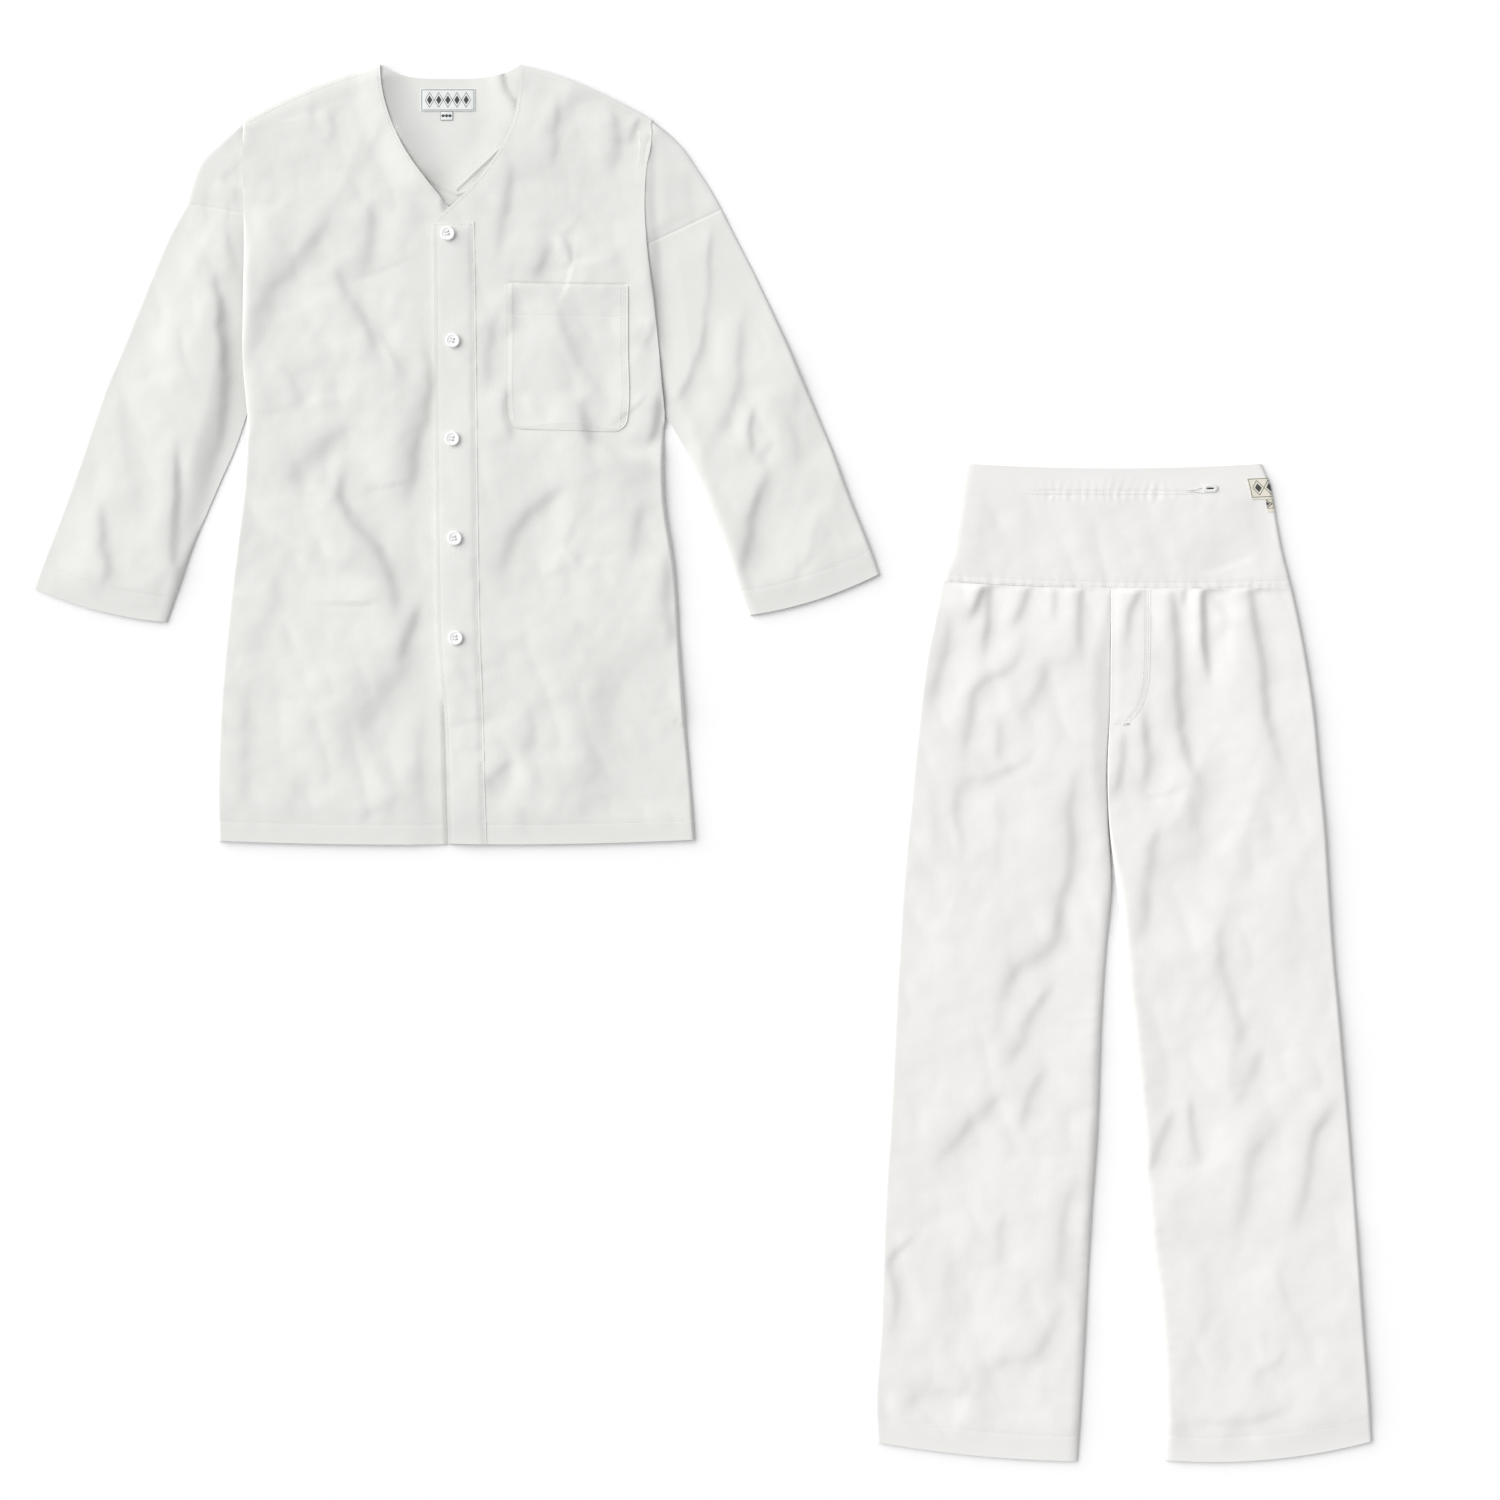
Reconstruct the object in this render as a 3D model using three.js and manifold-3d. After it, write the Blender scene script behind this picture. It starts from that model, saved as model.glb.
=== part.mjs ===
// Festival shirt and trousers, two plain cotton garments laid flat on one surface.
// Millimetres, +Z up. The origin is the middle of the set's footprint, on the surface it lies on.
import * as THREE from 'three';
import { mergeVertices } from 'three/addons/utils/BufferGeometryUtils.js';
import Module from 'manifold-3d';

// Places are given as mm right of and down from the far left corner of a table 1500 mm square.
const TABLE = { left: -702.5, far: 763.07 };

const CLOTH = 1.2; // wall of one cloth
const LABEL_CLOTH = 0.9;
const GAP = 0.3; // between pieces at a seam, and under what lies on a panel
const DOWN = 30; // pitch of the rows down a panel
const FOLD_EDGE = 1.7; // height of the outermost line of a folded edge
const SEAM_EDGE = 2.3; // height of an edge that comes down on the layer below
const SHOULDER_EDGE = 2.8;
const LAP_DROP = 2.7; // how far the underlap lies below the front that covers it

const SHIRT_LOFT = 7; // height of the shirt's upper face between folds
const SLEEVE_LOFT = 6.2;
const TROUSER_LOFT = 6.6;
const BAND_LOFT = 5.6;

const COTTON = { color: 0xf1f1ec, roughness: 0.9, metalness: 0 };
const LABEL_WHITE = { color: 0xeeeee6, roughness: 0.7, metalness: 0 };
const BUTTON_WHITE = { color: 0xf3f3f0, roughness: 0.3, metalness: 0 };

const BUTTON = { radius: 7.2, height: 2.6, rim: 1.6, dish: 0.8, hole: 0.9, pitch: 1.5, sides: 18 };

// The shirt's largest folds. Each has its high side on the left of its path as it runs down the table and
// its low side on the right; width is from the path to the crest, height from the middle to the crest.
const SHIRT_FOLDS = [
  { path: [[333, 185], [322, 225], [300, 258], [272, 290], [258, 330], [254, 375]], width: 14, height: 2.6 },
  { path: [[425, 340], [428, 380], [422, 420], [412, 460], [402, 520]], width: 10, height: 2.8 },
  { path: [[360, 422], [325, 445], [300, 470], [286, 505]], width: 14, height: 2.8 },
  { path: [[345, 455], [341, 490], [352, 520], [375, 550], [396, 590], [388, 632]], width: 11, height: 3 },
  { path: [[424, 640], [400, 668], [378, 700], [345, 745]], width: 16, height: 2.6 },
  { path: [[337, 262], [344, 287], [360, 318], [378, 360]], width: 11, height: 2 },
  { path: [[614, 100], [619, 135], [611, 176]], width: 10, height: 2 },
  { path: [[584, 395], [587, 430], [606, 447], [660, 472]], width: 11, height: 2.8 },
  { path: [[572, 485], [540, 504], [516, 532], [502, 575], [488, 595]], width: 12, height: 2.8 },
  { path: [[552, 295], [566, 330], [583, 370], [624, 402]], width: 13, height: 1.7 },
  { path: [[645, 645], [605, 690], [598, 740], [582, 830]], width: 26, height: 2.8 },
  { path: [[534, 696], [531, 735], [512, 765], [486, 792]], width: 12, height: 2 },
];

const SLEEVE_FOLDS = [
  { path: [[176, 436], [177, 480], [173, 535], [178, 584]], width: 10, height: 2.8 },
  { path: [[118, 388], [124, 435], [137, 525]], width: 12, height: 1.6 },
  { path: [[98, 500], [106, 540], [108, 570], [96, 604]], width: 11, height: 2 },
  { path: [[713, 222], [709, 275], [700, 320], [684, 392]], width: 12, height: 3 },
  { path: [[744, 300], [741, 350], [731, 408], [704, 464]], width: 12, height: 2.2 },
  { path: [[772, 462], [757, 492], [746, 535], [741, 584]], width: 12, height: 3.2 },
];

// The tucks at the waist seam come first, then the trousers' largest folds.
const TROUSER_FOLDS = [
  { path: [[985, 580], [978, 602], [968, 624]], width: 8, height: 2.6 },
  { path: [[991, 592], [988, 630], [982, 664]], width: 8, height: 2.4 },
  { path: [[1028, 580], [1022, 608], [1010, 628]], width: 8, height: 2.2 },
  { path: [[1080, 590], [1080, 635], [1085, 660]], width: 8, height: 1.6 },
  { path: [[1140, 588], [1129, 615], [1127, 648]], width: 7, height: 1.8 },
  { path: [[1172, 590], [1176, 650], [1190, 760], [1205, 792], [1198, 850]], width: 9, height: 3 },
  { path: [[1204, 576], [1203, 630], [1208, 688]], width: 8, height: 3 },
  { path: [[1250, 576], [1256, 620], [1265, 680], [1283, 778]], width: 9, height: 3.2 },
  { path: [[1024, 628], [1018, 658], [985, 682], [968, 730], [968, 785]], width: 11, height: 2 },
  { path: [[952, 608], [948, 640], [938, 682], [923, 720]], width: 11, height: 2 },
  { path: [[1099, 736], [1075, 790], [1070, 860], [1055, 940], [975, 1062]], width: 13, height: 2.8 },
  { path: [[1145, 708], [1147, 760], [1145, 802]], width: 9, height: 2.2 },
  { path: [[1162, 822], [1149, 860], [1130, 948]], width: 11, height: 2 },
  { path: [[1052, 988], [1020, 1045], [996, 1075]], width: 12, height: 2 },
  { path: [[1008, 1092], [960, 1136], [928, 1170]], width: 12, height: 2.2 },
  { path: [[1078, 1172], [1062, 1235], [1054, 1300]], width: 12, height: 1.8 },
  { path: [[1064, 1304], [1035, 1350], [968, 1364]], width: 12, height: 1.8 },
  { path: [[985, 1402], [945, 1390], [898, 1416]], width: 13, height: 2.2 },
  { path: [[1213, 910], [1232, 1000], [1242, 1068]], width: 12, height: 1.8 },
  { path: [[1290, 1114], [1256, 1150], [1233, 1248]], width: 13, height: 2.2 },
  { path: [[1343, 1090], [1314, 1146], [1302, 1236]], width: 12, height: 2.4 },
  { path: [[1298, 1406], [1235, 1424], [1176, 1419]], width: 10, height: 1.8 },
];

const clamp01 = (value) => Math.min(Math.max(value, 0), 1);
const smoothStep = (value) => clamp01(value) ** 2 * (3 - 2 * clamp01(value));
const quarterRound = (value) => Math.sqrt(1 - (1 - clamp01(value)) ** 2);
const mix = (from, to, share) => from + (to - from) * share;

// The part of a path nearest to a place: how far along the path it is, as a share of its length, and how far
// to the path's right.
function besidePath(path, x, y) {
  const lengths = path.slice(1).map(([px, py], k) => Math.hypot(px - path[k][0], py - path[k][1]));
  const total = lengths.reduce((sum, length) => sum + length, 0);
  let best = { distance: Infinity, along: 0, side: 0 };
  let passed = 0;
  lengths.forEach((length, k) => {
    const [ax, ay] = path[k];
    const dx = (path[k + 1][0] - ax) / length;
    const dy = (path[k + 1][1] - ay) / length;
    const along = Math.min(Math.max((x - ax) * dx + (y - ay) * dy, 0), length);
    const distance = Math.hypot(x - ax - dx * along, y - ay - dy * along);
    const right = dy * (x - ax) - dx * (y - ay);
    if (distance < best.distance) {
      best = { distance, along: (passed + along) / total, side: Math.sign(right) * distance };
    }
    passed += length;
  });
  return best;
}

// A fold is a crest and a trough side by side, which fade out towards the ends of its path.
function foldsAt(folds, x, y) {
  const TAPER = 0.3;
  return folds.reduce((sum, { path, width, height }) => {
    const { along, side } = besidePath(path, x, y);
    const strength = smoothStep(along / TAPER) * smoothStep((1 - along) / TAPER);
    const reach = side / width;
    return sum - height * strength * reach * Math.exp(0.5 * (1 - reach * reach));
  }, 0);
}

// Keeps a height above a floor, with a soft turn.
const settle = (height, floor) => floor + Math.log(1 + Math.exp((height - floor) * 1.4)) / 1.4;

// The upper face of the shirt's fronts. It stands a little higher where the fronts lap.
function shirtFace(x, y) {
  const lap = Math.exp(-(((x - 456) / 42) ** 2));
  return settle(SHIRT_LOFT + 1.4 * lap + foldsAt(SHIRT_FOLDS, x, y) * (1 - 0.45 * lap), mix(4.4, 7.2, lap));
}

const sleeveFace = (x, y) => settle(SLEEVE_LOFT + foldsAt(SLEEVE_FOLDS, x, y), 4);
const trouserFace = (x, y) => settle(TROUSER_LOFT + foldsAt(TROUSER_FOLDS, x, y), 4);

// A smooth curve through one end of all rows, which turns sharply only at rows marked corner. The place is
// counted in rows.
function endCurve(rows, end) {
  const chord = (a, b) => Math.hypot(b[0] - a[0], b[1] - a[1]) || 1;
  const slope = (k) => {
    if (k === 0 || k === rows.length - 1 || rows[k].corner) return null;
    const [before, here, after] = [rows[k - 1][end], rows[k][end], rows[k + 1][end]];
    const [first, second] = [chord(before, here), chord(here, after)];
    return [0, 1].map((c) => (
      ((here[c] - before[c]) / first * second + (after[c] - here[c]) / second * first) / (first + second)
    ));
  };
  return (place) => {
    const k = Math.min(Math.floor(place), rows.length - 2);
    const t = place - k;
    const [from, to] = [rows[k][end], rows[k + 1][end]];
    const length = chord(from, to);
    const straight = [0, 1].map((c) => (to[c] - from[c]) / length);
    const [start, finish] = [slope(k) ?? straight, slope(k + 1) ?? straight];
    return [0, 1].map((c) => (
      (2 * t ** 3 - 3 * t ** 2 + 1) * from[c] + (t ** 3 - 2 * t ** 2 + t) * length * start[c]
      + (3 * t ** 2 - 2 * t ** 3) * to[c] + (t ** 3 - t ** 2) * length * finish[c]
    ));
  };
}

// Places down the rows, counted in rows, about DOWN apart on the longer side.
function downPlaces(rows, pitch = DOWN) {
  const places = [0];
  rows.slice(1).forEach((row, k) => {
    const longest = Math.max(...['first', 'second'].map((end) => (
      Math.hypot(row[end][0] - rows[k][end][0], row[end][1] - rows[k][end][1])
    )));
    const steps = Math.max(1, Math.round(longest / pitch));
    for (let step = 1; step <= steps; step += 1) places.push(k + step / steps);
  });
  return places;
}

// A value of the rows table at a place between rows, where a row may leave it out.
function rowValue(rows, name, place, usual) {
  const k = Math.min(Math.floor(place), rows.length - 2);
  return mix(rows[k][name] ?? usual, rows[k + 1][name] ?? usual, place - k);
}

// Lays points on the table through the rows. shares says how far across each row they lie.
function layRows(rows, shares, places = downPlaces(rows)) {
  const [first, second] = [endCurve(rows, 'first'), endCurve(rows, 'second')];
  const grid = places.map((place) => {
    const [a, b] = [first(place), second(place)];
    const width = Math.hypot(b[0] - a[0], b[1] - a[1]);
    const bow = rowValue(rows, 'bow', place, 0);
    return shares(width, place).map((share) => ({
      x: mix(a[0], b[0], share),
      y: mix(a[1], b[1], share) + bow * 4 * share * (1 - share),
      place,
      fromFirst: share * width,
      fromSecond: (1 - share) * width,
    }));
  });
  grid.forEach((row, i) => row.forEach((point, j) => {
    const above = i ? grid[i - 1][j] : { ...point, fromStart: 0 };
    point.fromStart = above.fromStart + Math.hypot(point.x - above.x, point.y - above.y);
  }));
  grid.forEach((row) => row.forEach((point, j) => {
    point.fromLast = grid[grid.length - 1][j].fromStart - point.fromStart;
  }));
  return grid;
}

// Shares across a row: closer together at a rolled edge, then even.
function evenShares(count, rolls = {}) {
  const EDGE = [1.5, 4.5, 10];
  return (width) => {
    const lead = rolls.first ? EDGE.map((d) => d / width) : [];
    const tail = rolls.second ? EDGE.map((d) => 1 - d / width).reverse() : [];
    const from = lead.length ? lead[lead.length - 1] : 0;
    const to = tail.length ? tail[0] : 1;
    const middle = Array.from({ length: count - 1 }, (_, k) => mix(from, to, (k + 1) / count));
    return [0, ...lead, ...middle, ...tail, 1];
  };
}

// How an edge comes down from the face: a roll is a crisp turn, a sink is a long slope.
const roll = (foot, reach) => (distance, face) => mix(foot, face, quarterRound(distance / reach));
const sink = (foot, reach) => (distance, face) => mix(Math.min(foot, face), face, smoothStep(distance / reach));

const onTable = ({ x, y }, z) => new THREE.Vector3(x + TABLE.left, TABLE.far - y, z);

// The outward normal at each point of a grid. The last columns of every grid face up.
function gridNormals(points) {
  const [rows, columns] = [points.length, points[0].length];
  const difference = (a, b) => new THREE.Vector3().subVectors(a, b);
  const normals = points.map((row, i) => row.map((_, j) => {
    const down = difference(points[Math.min(i + 1, rows - 1)][j], points[Math.max(i - 1, 0)][j]);
    const across = difference(points[i][Math.min(j + 1, columns - 1)], points[i][Math.max(j - 1, 0)]);
    return across.cross(down).normalize();
  }));
  const facing = Math.sign(normals[Math.floor(rows / 2)][columns - 5].z);
  normals.forEach((row) => row.forEach((normal) => normal.multiplyScalar(facing)));
  return normals;
}

const movedOut = (points, distance, normals = gridNormals(points)) => (
  points.map((row, i) => row.map((point, j) => point.clone().addScaledVector(normals[i][j], distance)))
);

// A closed wall between two grids of points. cutCorners lists corners of the grid, as its row and column,
// whose cell is cut across.
function wallBetween(upper, lower, cutCorners = []) {
  const [rows, columns] = [upper.length, upper[0].length];
  const index = (i, j, side) => (side * rows + i) * columns + j;
  const isCut = (i, j) => cutCorners.some(([m, n]) => m === i && n === j);
  const faces = [];
  for (let i = 0; i < rows - 1; i += 1) {
    for (let j = 0; j < columns - 1; j += 1) {
      const [a, b, c, d] = [[i, j], [i, j + 1], [i + 1, j + 1], [i + 1, j]];
      const halves = isCut(...a) || isCut(...c) ? [[a, b, d], [b, c, d]] : [[a, b, c], [a, c, d]];
      halves.filter((half) => !half.some((corner) => isCut(...corner))).forEach((half) => {
        faces.push(half.map((corner) => index(...corner, 0)));
        faces.push(half.map((corner) => index(...corner, 1)).reverse());
      });
    }
  }
  const outline = [];
  for (let j = 0; j < columns - 1; j += 1) outline.push([0, j]);
  for (let i = 0; i < rows - 1; i += 1) outline.push([i, columns - 1]);
  for (let j = columns - 1; j > 0; j -= 1) outline.push([rows - 1, j]);
  for (let i = rows - 1; i > 0; i -= 1) outline.push([i, 0]);
  const kept = outline.filter((corner) => !isCut(...corner));
  kept.forEach((corner, k) => {
    const next = kept[(k + 1) % kept.length];
    faces.push([index(...corner, 0), index(...corner, 1), index(...next, 1)]);
    faces.push([index(...corner, 0), index(...next, 1), index(...next, 0)]);
  });
  return closedGeometry([...upper, ...lower].flat(), faces);
}

// A geometry from points and faces, turned so that its faces point out.
function closedGeometry(points, faces) {
  const volume = faces.reduce((sum, [a, b, c]) => (
    sum + points[a].dot(new THREE.Vector3().crossVectors(points[b], points[c]))
  ), 0);
  const ordered = volume < 0 ? faces.map(([a, b, c]) => [a, c, b]) : faces;
  const loose = new THREE.BufferGeometry();
  loose.setAttribute('position', new THREE.Float32BufferAttribute(points.flatMap((p) => p.toArray()), 3));
  loose.setIndex(ordered.flat());
  return loose;
}

// A panel: a wall whose upper face is given by heights, hung from its points on the table.
function panelPoints(grid, height) {
  return grid.map((row) => row.map((point) => onTable(point, height(point))));
}

// A tube laid flat: one cloth that lies on the table, turns up at its first end and comes back over itself.
// hem names the end of the rows at which the upper layer sinks; lift raises the under layer off the table.
function tubePoints({ rows, shares, height, places, hem = 'fromLast', lift = () => 0 }) {
  const UNDER = [1, 0.5, 0.1];
  const TURN = [1, 3];
  const below = (width) => [...UNDER, ...TURN.map((d) => d / width).reverse()];
  const lower = layRows(rows, below, places);
  const upper = layRows(rows, shares, places);
  const upperHeight = (point) => {
    const face = sink(4.6, 40)(point[hem], height(point.x, point.y));
    const foot = rowValue(rows, 'foot', point.place, SEAM_EDGE);
    const reach = rowValue(rows, 'reach', point.place, 10);
    const inner = reach > 20 ? sink(foot, reach) : roll(foot, reach);
    return inner(point.fromSecond, roll(FOLD_EDGE, 10)(point.fromFirst, face));
  };
  const turned = (point) => FOLD_EDGE * (1 - quarterRound(point.fromFirst / TURN[1]));
  const lowerHeight = (point) => Math.max(turned(point), lift(point));
  return lower.map((row, i) => [
    ...row.map((point) => onTable(point, lowerHeight(point))),
    ...upper[i].map((point) => onTable(point, upperHeight(point))),
  ]);
}

const clothWall = (points) => wallBetween(points, movedOut(points, -CLOTH));

const wasm = await Module();
wasm.setup();

function solidOf(geometry) {
  const bare = geometry.clone();
  bare.deleteAttribute('normal');
  bare.deleteAttribute('uv');
  const merged = mergeVertices(bare, 1e-3);
  return new wasm.Manifold(new wasm.Mesh({
    numProp: 3,
    vertProperties: new Float32Array(merged.attributes.position.array),
    triVerts: new Uint32Array(merged.index.array),
  }));
}

function geometryOf(solid) {
  const mesh = solid.getMesh();
  const geometry = new THREE.BufferGeometry();
  geometry.setAttribute('position', new THREE.BufferAttribute(new Float32Array(mesh.vertProperties), 3));
  geometry.setIndex(new THREE.BufferAttribute(new Uint32Array(mesh.triVerts), 1));
  return geometry;
}

const group = new THREE.Group();

function add(name, geometry, look = COTTON) {
  const mesh = new THREE.Mesh(geometry, new THREE.MeshStandardMaterial(look));
  mesh.name = name;
  group.add(mesh);
  return mesh;
}

// A flat piece of even thickness from an outline on the table.
function flatPiece(outline, bottom, thickness) {
  const shape = new THREE.Shape(outline.map(([x, y]) => new THREE.Vector2(x + TABLE.left, TABLE.far - y)));
  return new THREE.ExtrudeGeometry(shape, { depth: thickness, bevelEnabled: false }).translate(0, 0, bottom);
}

// Rows of the front that closes underneath. The first end is the side, the second the lap or the neck.
const FRONT_RIGHT_ROWS = [
  { first: [217.6, 840.7], second: [484, 844], bow: 2 },
  { first: [216.4, 784], second: [482, 788] },
  { first: [219.4, 706], second: [480, 712] },
  { first: [227, 618], second: [479, 624] },
  { first: [235.4, 547], second: [478, 552] },
  { first: [243, 486], second: [477, 492] },
  { first: [247.4, 414], second: [476, 424], corner: true, edge: 4.6 },
  { first: [243, 366], second: [476, 380], edge: 4.6 },
  { first: [243, 300], second: [475, 326], edge: 4.6 },
  { first: [244, 240], second: [474, 272], edge: 4.6 },
  { first: [243.4, 203], second: [473, 230], corner: true, edge: 4.8 },
  { first: [243, 184], second: [449.5, 207.2], edge: 5 },
  { first: [243, 170], second: [428.9, 182.8], edge: 5.6 },
  { first: [243, 157], second: [411.7, 159.9], edge: 6.4 },
  { first: [243, 145], second: [400.2, 140.4], edge: 6.4 },
  { first: [243, 134], second: [391, 119.7], edge: 6 },
  { first: [243, 125], second: [382.6, 90], edge: 4 },
  { first: [243, 118.8], second: [379.8, 63.7], bow: -6, edge: 2.8 },
];

// Rows of the front that laps on top. The first end is the placket's edge or the neck, the second the side.
const FRONT_LEFT_ROWS = [
  { first: [448, 844], second: [694.6, 839.7], bow: 2 },
  { first: [447, 786], second: [691, 790] },
  { first: [444.5, 715], second: [684.5, 715] },
  { first: [438.5, 645], second: [679.5, 645] },
  { first: [437, 570], second: [675, 572] },
  { first: [436, 500], second: [664.6, 500] },
  { first: [435.5, 430], second: [664, 430] },
  { first: [435.3, 414], second: [664.7, 414], corner: true, edge: 4.6 },
  { first: [435, 357], second: [659.5, 357], edge: 4.6 },
  { first: [434.5, 285], second: [652, 285], edge: 4.6 },
  { first: [434, 250], second: [647.5, 250], edge: 4.6 },
  { first: [433.5, 222], second: [645, 222], corner: true, edge: 4.6 },
  { first: [449.5, 207.2], second: [644.5, 203], edge: 4.8 },
  { first: [470.2, 187.4], second: [645.2, 183], edge: 5 },
  { first: [489.7, 163.3], second: [647, 164], edge: 5.6 },
  { first: [502.5, 144], second: [650.5, 147], edge: 6.4 },
  { first: [513.5, 118], second: [651.5, 135], edge: 6 },
  { first: [518.3, 92], second: [652, 127], edge: 4 },
  { first: [520.4, 63.7], second: [652, 119.4], bow: -6, edge: 2.8 },
];

// The dropped shoulder beside each side fold: from its outer edge to where it passes under the fold.
const CAP_RIGHT_ROWS = [
  { first: [186.5, 203], second: [251, 213.7] },
  { first: [191.5, 180], second: [251, 190] },
  { first: [200.5, 160], second: [251, 166] },
  { first: [220, 141], second: [253, 146] },
  { first: [243.6, 120.2], second: [262, 114] },
];
const CAP_LEFT_ROWS = [
  { first: [721.4, 208.6], second: [638, 247.6] },
  { first: [709, 187], second: [637, 222] },
  { first: [695.6, 166.4], second: [637, 192] },
  { first: [682.6, 147.4], second: [638, 165] },
  { first: [668, 133.4], second: [640, 144] },
  { first: [651.6, 120.6], second: [633, 115] },
];

// Rows of the sleeves, from the armhole seam to the cuff. The first end is the outer fold, the second the
// underarm seam, which lies under the side fold down to the underarm.
const SLEEVE_RIGHT_ROWS = [
  { first: [186.4, 203.4], second: [250.6, 214.1], reach: 34 },
  { first: [168, 237], second: [250, 262], reach: 36 },
  { first: [151, 276], second: [250, 302], reach: 36 },
  { first: [134, 318], second: [250, 344], reach: 36 },
  { first: [118, 357], second: [249.6, 382], reach: 36 },
  { first: [103, 392], second: [246.8, 412.6], reach: 38, corner: true },
  { first: [92.6, 422], second: [234, 449], reach: 34 },
  { first: [79.6, 460], second: [220, 480.6], reach: 30 },
  { first: [64, 504], second: [205.6, 514], reach: 16 },
  { first: [50, 541], second: [191, 549] },
  { first: [40, 567], second: [178.6, 585] },
  { first: [32.5, 587.6], second: [166, 622], bow: 6 },
];
const SLEEVE_LEFT_ROWS = [
  { first: [721.6, 209.1], second: [638.4, 248.2], reach: 24 },
  { first: [737, 240], second: [641, 275], reach: 24 },
  { first: [752, 269], second: [644.6, 304], reach: 24 },
  { first: [770, 306], second: [650, 342], reach: 26 },
  { first: [787, 342], second: [653, 377], reach: 30 },
  { first: [803, 379.6], second: [664.2, 413.4], reach: 26, corner: true },
  { first: [818, 415], second: [681.7, 443.3] },
  { first: [833.3, 451.7], second: [696, 474] },
  { first: [850, 496.7], second: [710, 512] },
  { first: [866.7, 538.3], second: [727, 556] },
  { first: [874, 557], second: [738.6, 588] },
  { first: [879.6, 573.6], second: [749.6, 615], bow: 6 },
];

// Rows of the waistband. The first end is the folded edge that the label wraps, the second the side seam.
const WAISTBAND_ROWS = [
  { first: [1261.6, 463.6], second: [966.6, 463.6], bow: 4.6 },
  { first: [1268, 478], second: [962.6, 479] },
  { first: [1275, 509], second: [957, 510] },
  { first: [1281.6, 545], second: [949.6, 550] },
  { first: [1291.6, 586], second: [940.6, 580.6], bow: 4.6 },
];

// Rows of the legs, from the waist seam to the hem. The first end is the outer fold, the second the centre
// seam and then the inseam.
const LEG_RIGHT_ROWS = [
  { first: [940.6, 581.2], second: [1110.7, 588.2], bow: 1.4, foot: 4.4, reach: 22 },
  { first: [934, 614], second: [1110.7, 618], foot: 4, reach: 24 },
  { first: [926, 652], second: [1110.7, 654], foot: 4, reach: 24 },
  { first: [918.6, 706], second: [1110.7, 708], foot: 4, reach: 26 },
  { first: [912, 772], second: [1110.7, 774], foot: 4, reach: 24 },
  { first: [906.6, 828], second: [1110.7, 830], foot: 4, reach: 22 },
  { first: [902.6, 872], second: [1111.6, 882], foot: 3.4, reach: 14 },
  { first: [898, 940], second: [1106.6, 944] },
  { first: [894, 1010], second: [1102, 1010] },
  { first: [888.4, 1122], second: [1098, 1120] },
  { first: [882.6, 1216], second: [1091.6, 1216] },
  { first: [878.6, 1330], second: [1085.4, 1330] },
  { first: [874.4, 1410], second: [1080.4, 1418] },
  { first: [876.6, 1442.6], second: [1077.5, 1461.6], bow: 4 },
];
const LEG_LEFT_ROWS = [
  { first: [1292.4, 586.8], second: [1111.3, 588.2], bow: 1, foot: 4.6, reach: 8 },
  { first: [1298.6, 616], second: [1111.3, 618], foot: 4.6, reach: 8 },
  { first: [1306, 654], second: [1111.3, 654], foot: 4.6, reach: 8 },
  { first: [1314.4, 708], second: [1111.3, 708], foot: 4.6, reach: 8 },
  { first: [1320.6, 772], second: [1111.4, 774], foot: 4.6, reach: 8 },
  { first: [1326, 828], second: [1112.4, 830], foot: 4.6, reach: 8 },
  { first: [1329.4, 880], second: [1116.4, 882], foot: 3.4, reach: 9 },
  { first: [1333.6, 944], second: [1122.6, 944] },
  { first: [1339.6, 1010], second: [1129, 1010] },
  { first: [1350, 1130], second: [1139.6, 1120] },
  { first: [1356.6, 1216], second: [1147, 1216] },
  { first: [1364.6, 1330], second: [1158.6, 1330] },
  { first: [1370.6, 1410], second: [1162.8, 1410] },
  { first: [1372.5, 1441.6], second: [1164.6, 1460.4], bow: 9 },
];

// How a front comes down at its side, shoulder and hem. The side fold stands up before it turns down.
function frontHeight(rows, side, drop = () => 0) {
  const SIDE_RIDGE = 2.6;
  const hem = sink(5.6, 40);
  return (point) => {
    const fromSide = point[side];
    const foot = rowValue(rows, 'edge', point.place, SEAM_EDGE);
    const ridge = SIDE_RIDGE * smoothStep((foot - SEAM_EDGE) / 2.3) * Math.exp(-fromSide / 24);
    const face = hem(point.fromStart, shirtFace(point.x, point.y) + ridge) - drop(point);
    const rolled = roll(foot, 10)(fromSide, face);
    return Math.min(rolled, roll(SHOULDER_EDGE, 16)(point.fromLast, face));
  };
}

// The cap of a shoulder joins the front along its top and passes under the side fold below that.
function capPoints(rows) {
  const CAP_LOFT = 5.4;
  const grid = layRows(rows, evenShares(4, { first: true }), downPlaces(rows, 16));
  return panelPoints(grid, (point) => {
    const top = smoothStep(point.fromLast / 40);
    const rise = CAP_LOFT + (1 - top) * 1.2;
    const tucked = sink(4.3 + (1 - top) * 1.8, 22)(point.fromSecond, rise);
    const rolled = roll(SEAM_EDGE, 10)(point.fromFirst, tucked);
    return Math.min(rolled, roll(SHOULDER_EDGE, 12)(point.fromLast, 8));
  });
}

function buildFrontRight() {
  const underlap = ({ x, y }) => LAP_DROP * smoothStep((x - 412) / 18) * smoothStep((y - 178) / 24);
  const grid = layRows(FRONT_RIGHT_ROWS, evenShares(15, { first: true }));
  const front = panelPoints(grid, frontHeight(FRONT_RIGHT_ROWS, 'fromFirst', underlap));
  const cap = capPoints(CAP_RIGHT_ROWS);
  add('shirt_front_right', geometryOf(solidOf(clothWall(front)).add(solidOf(clothWall(cap)))));
}

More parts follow.
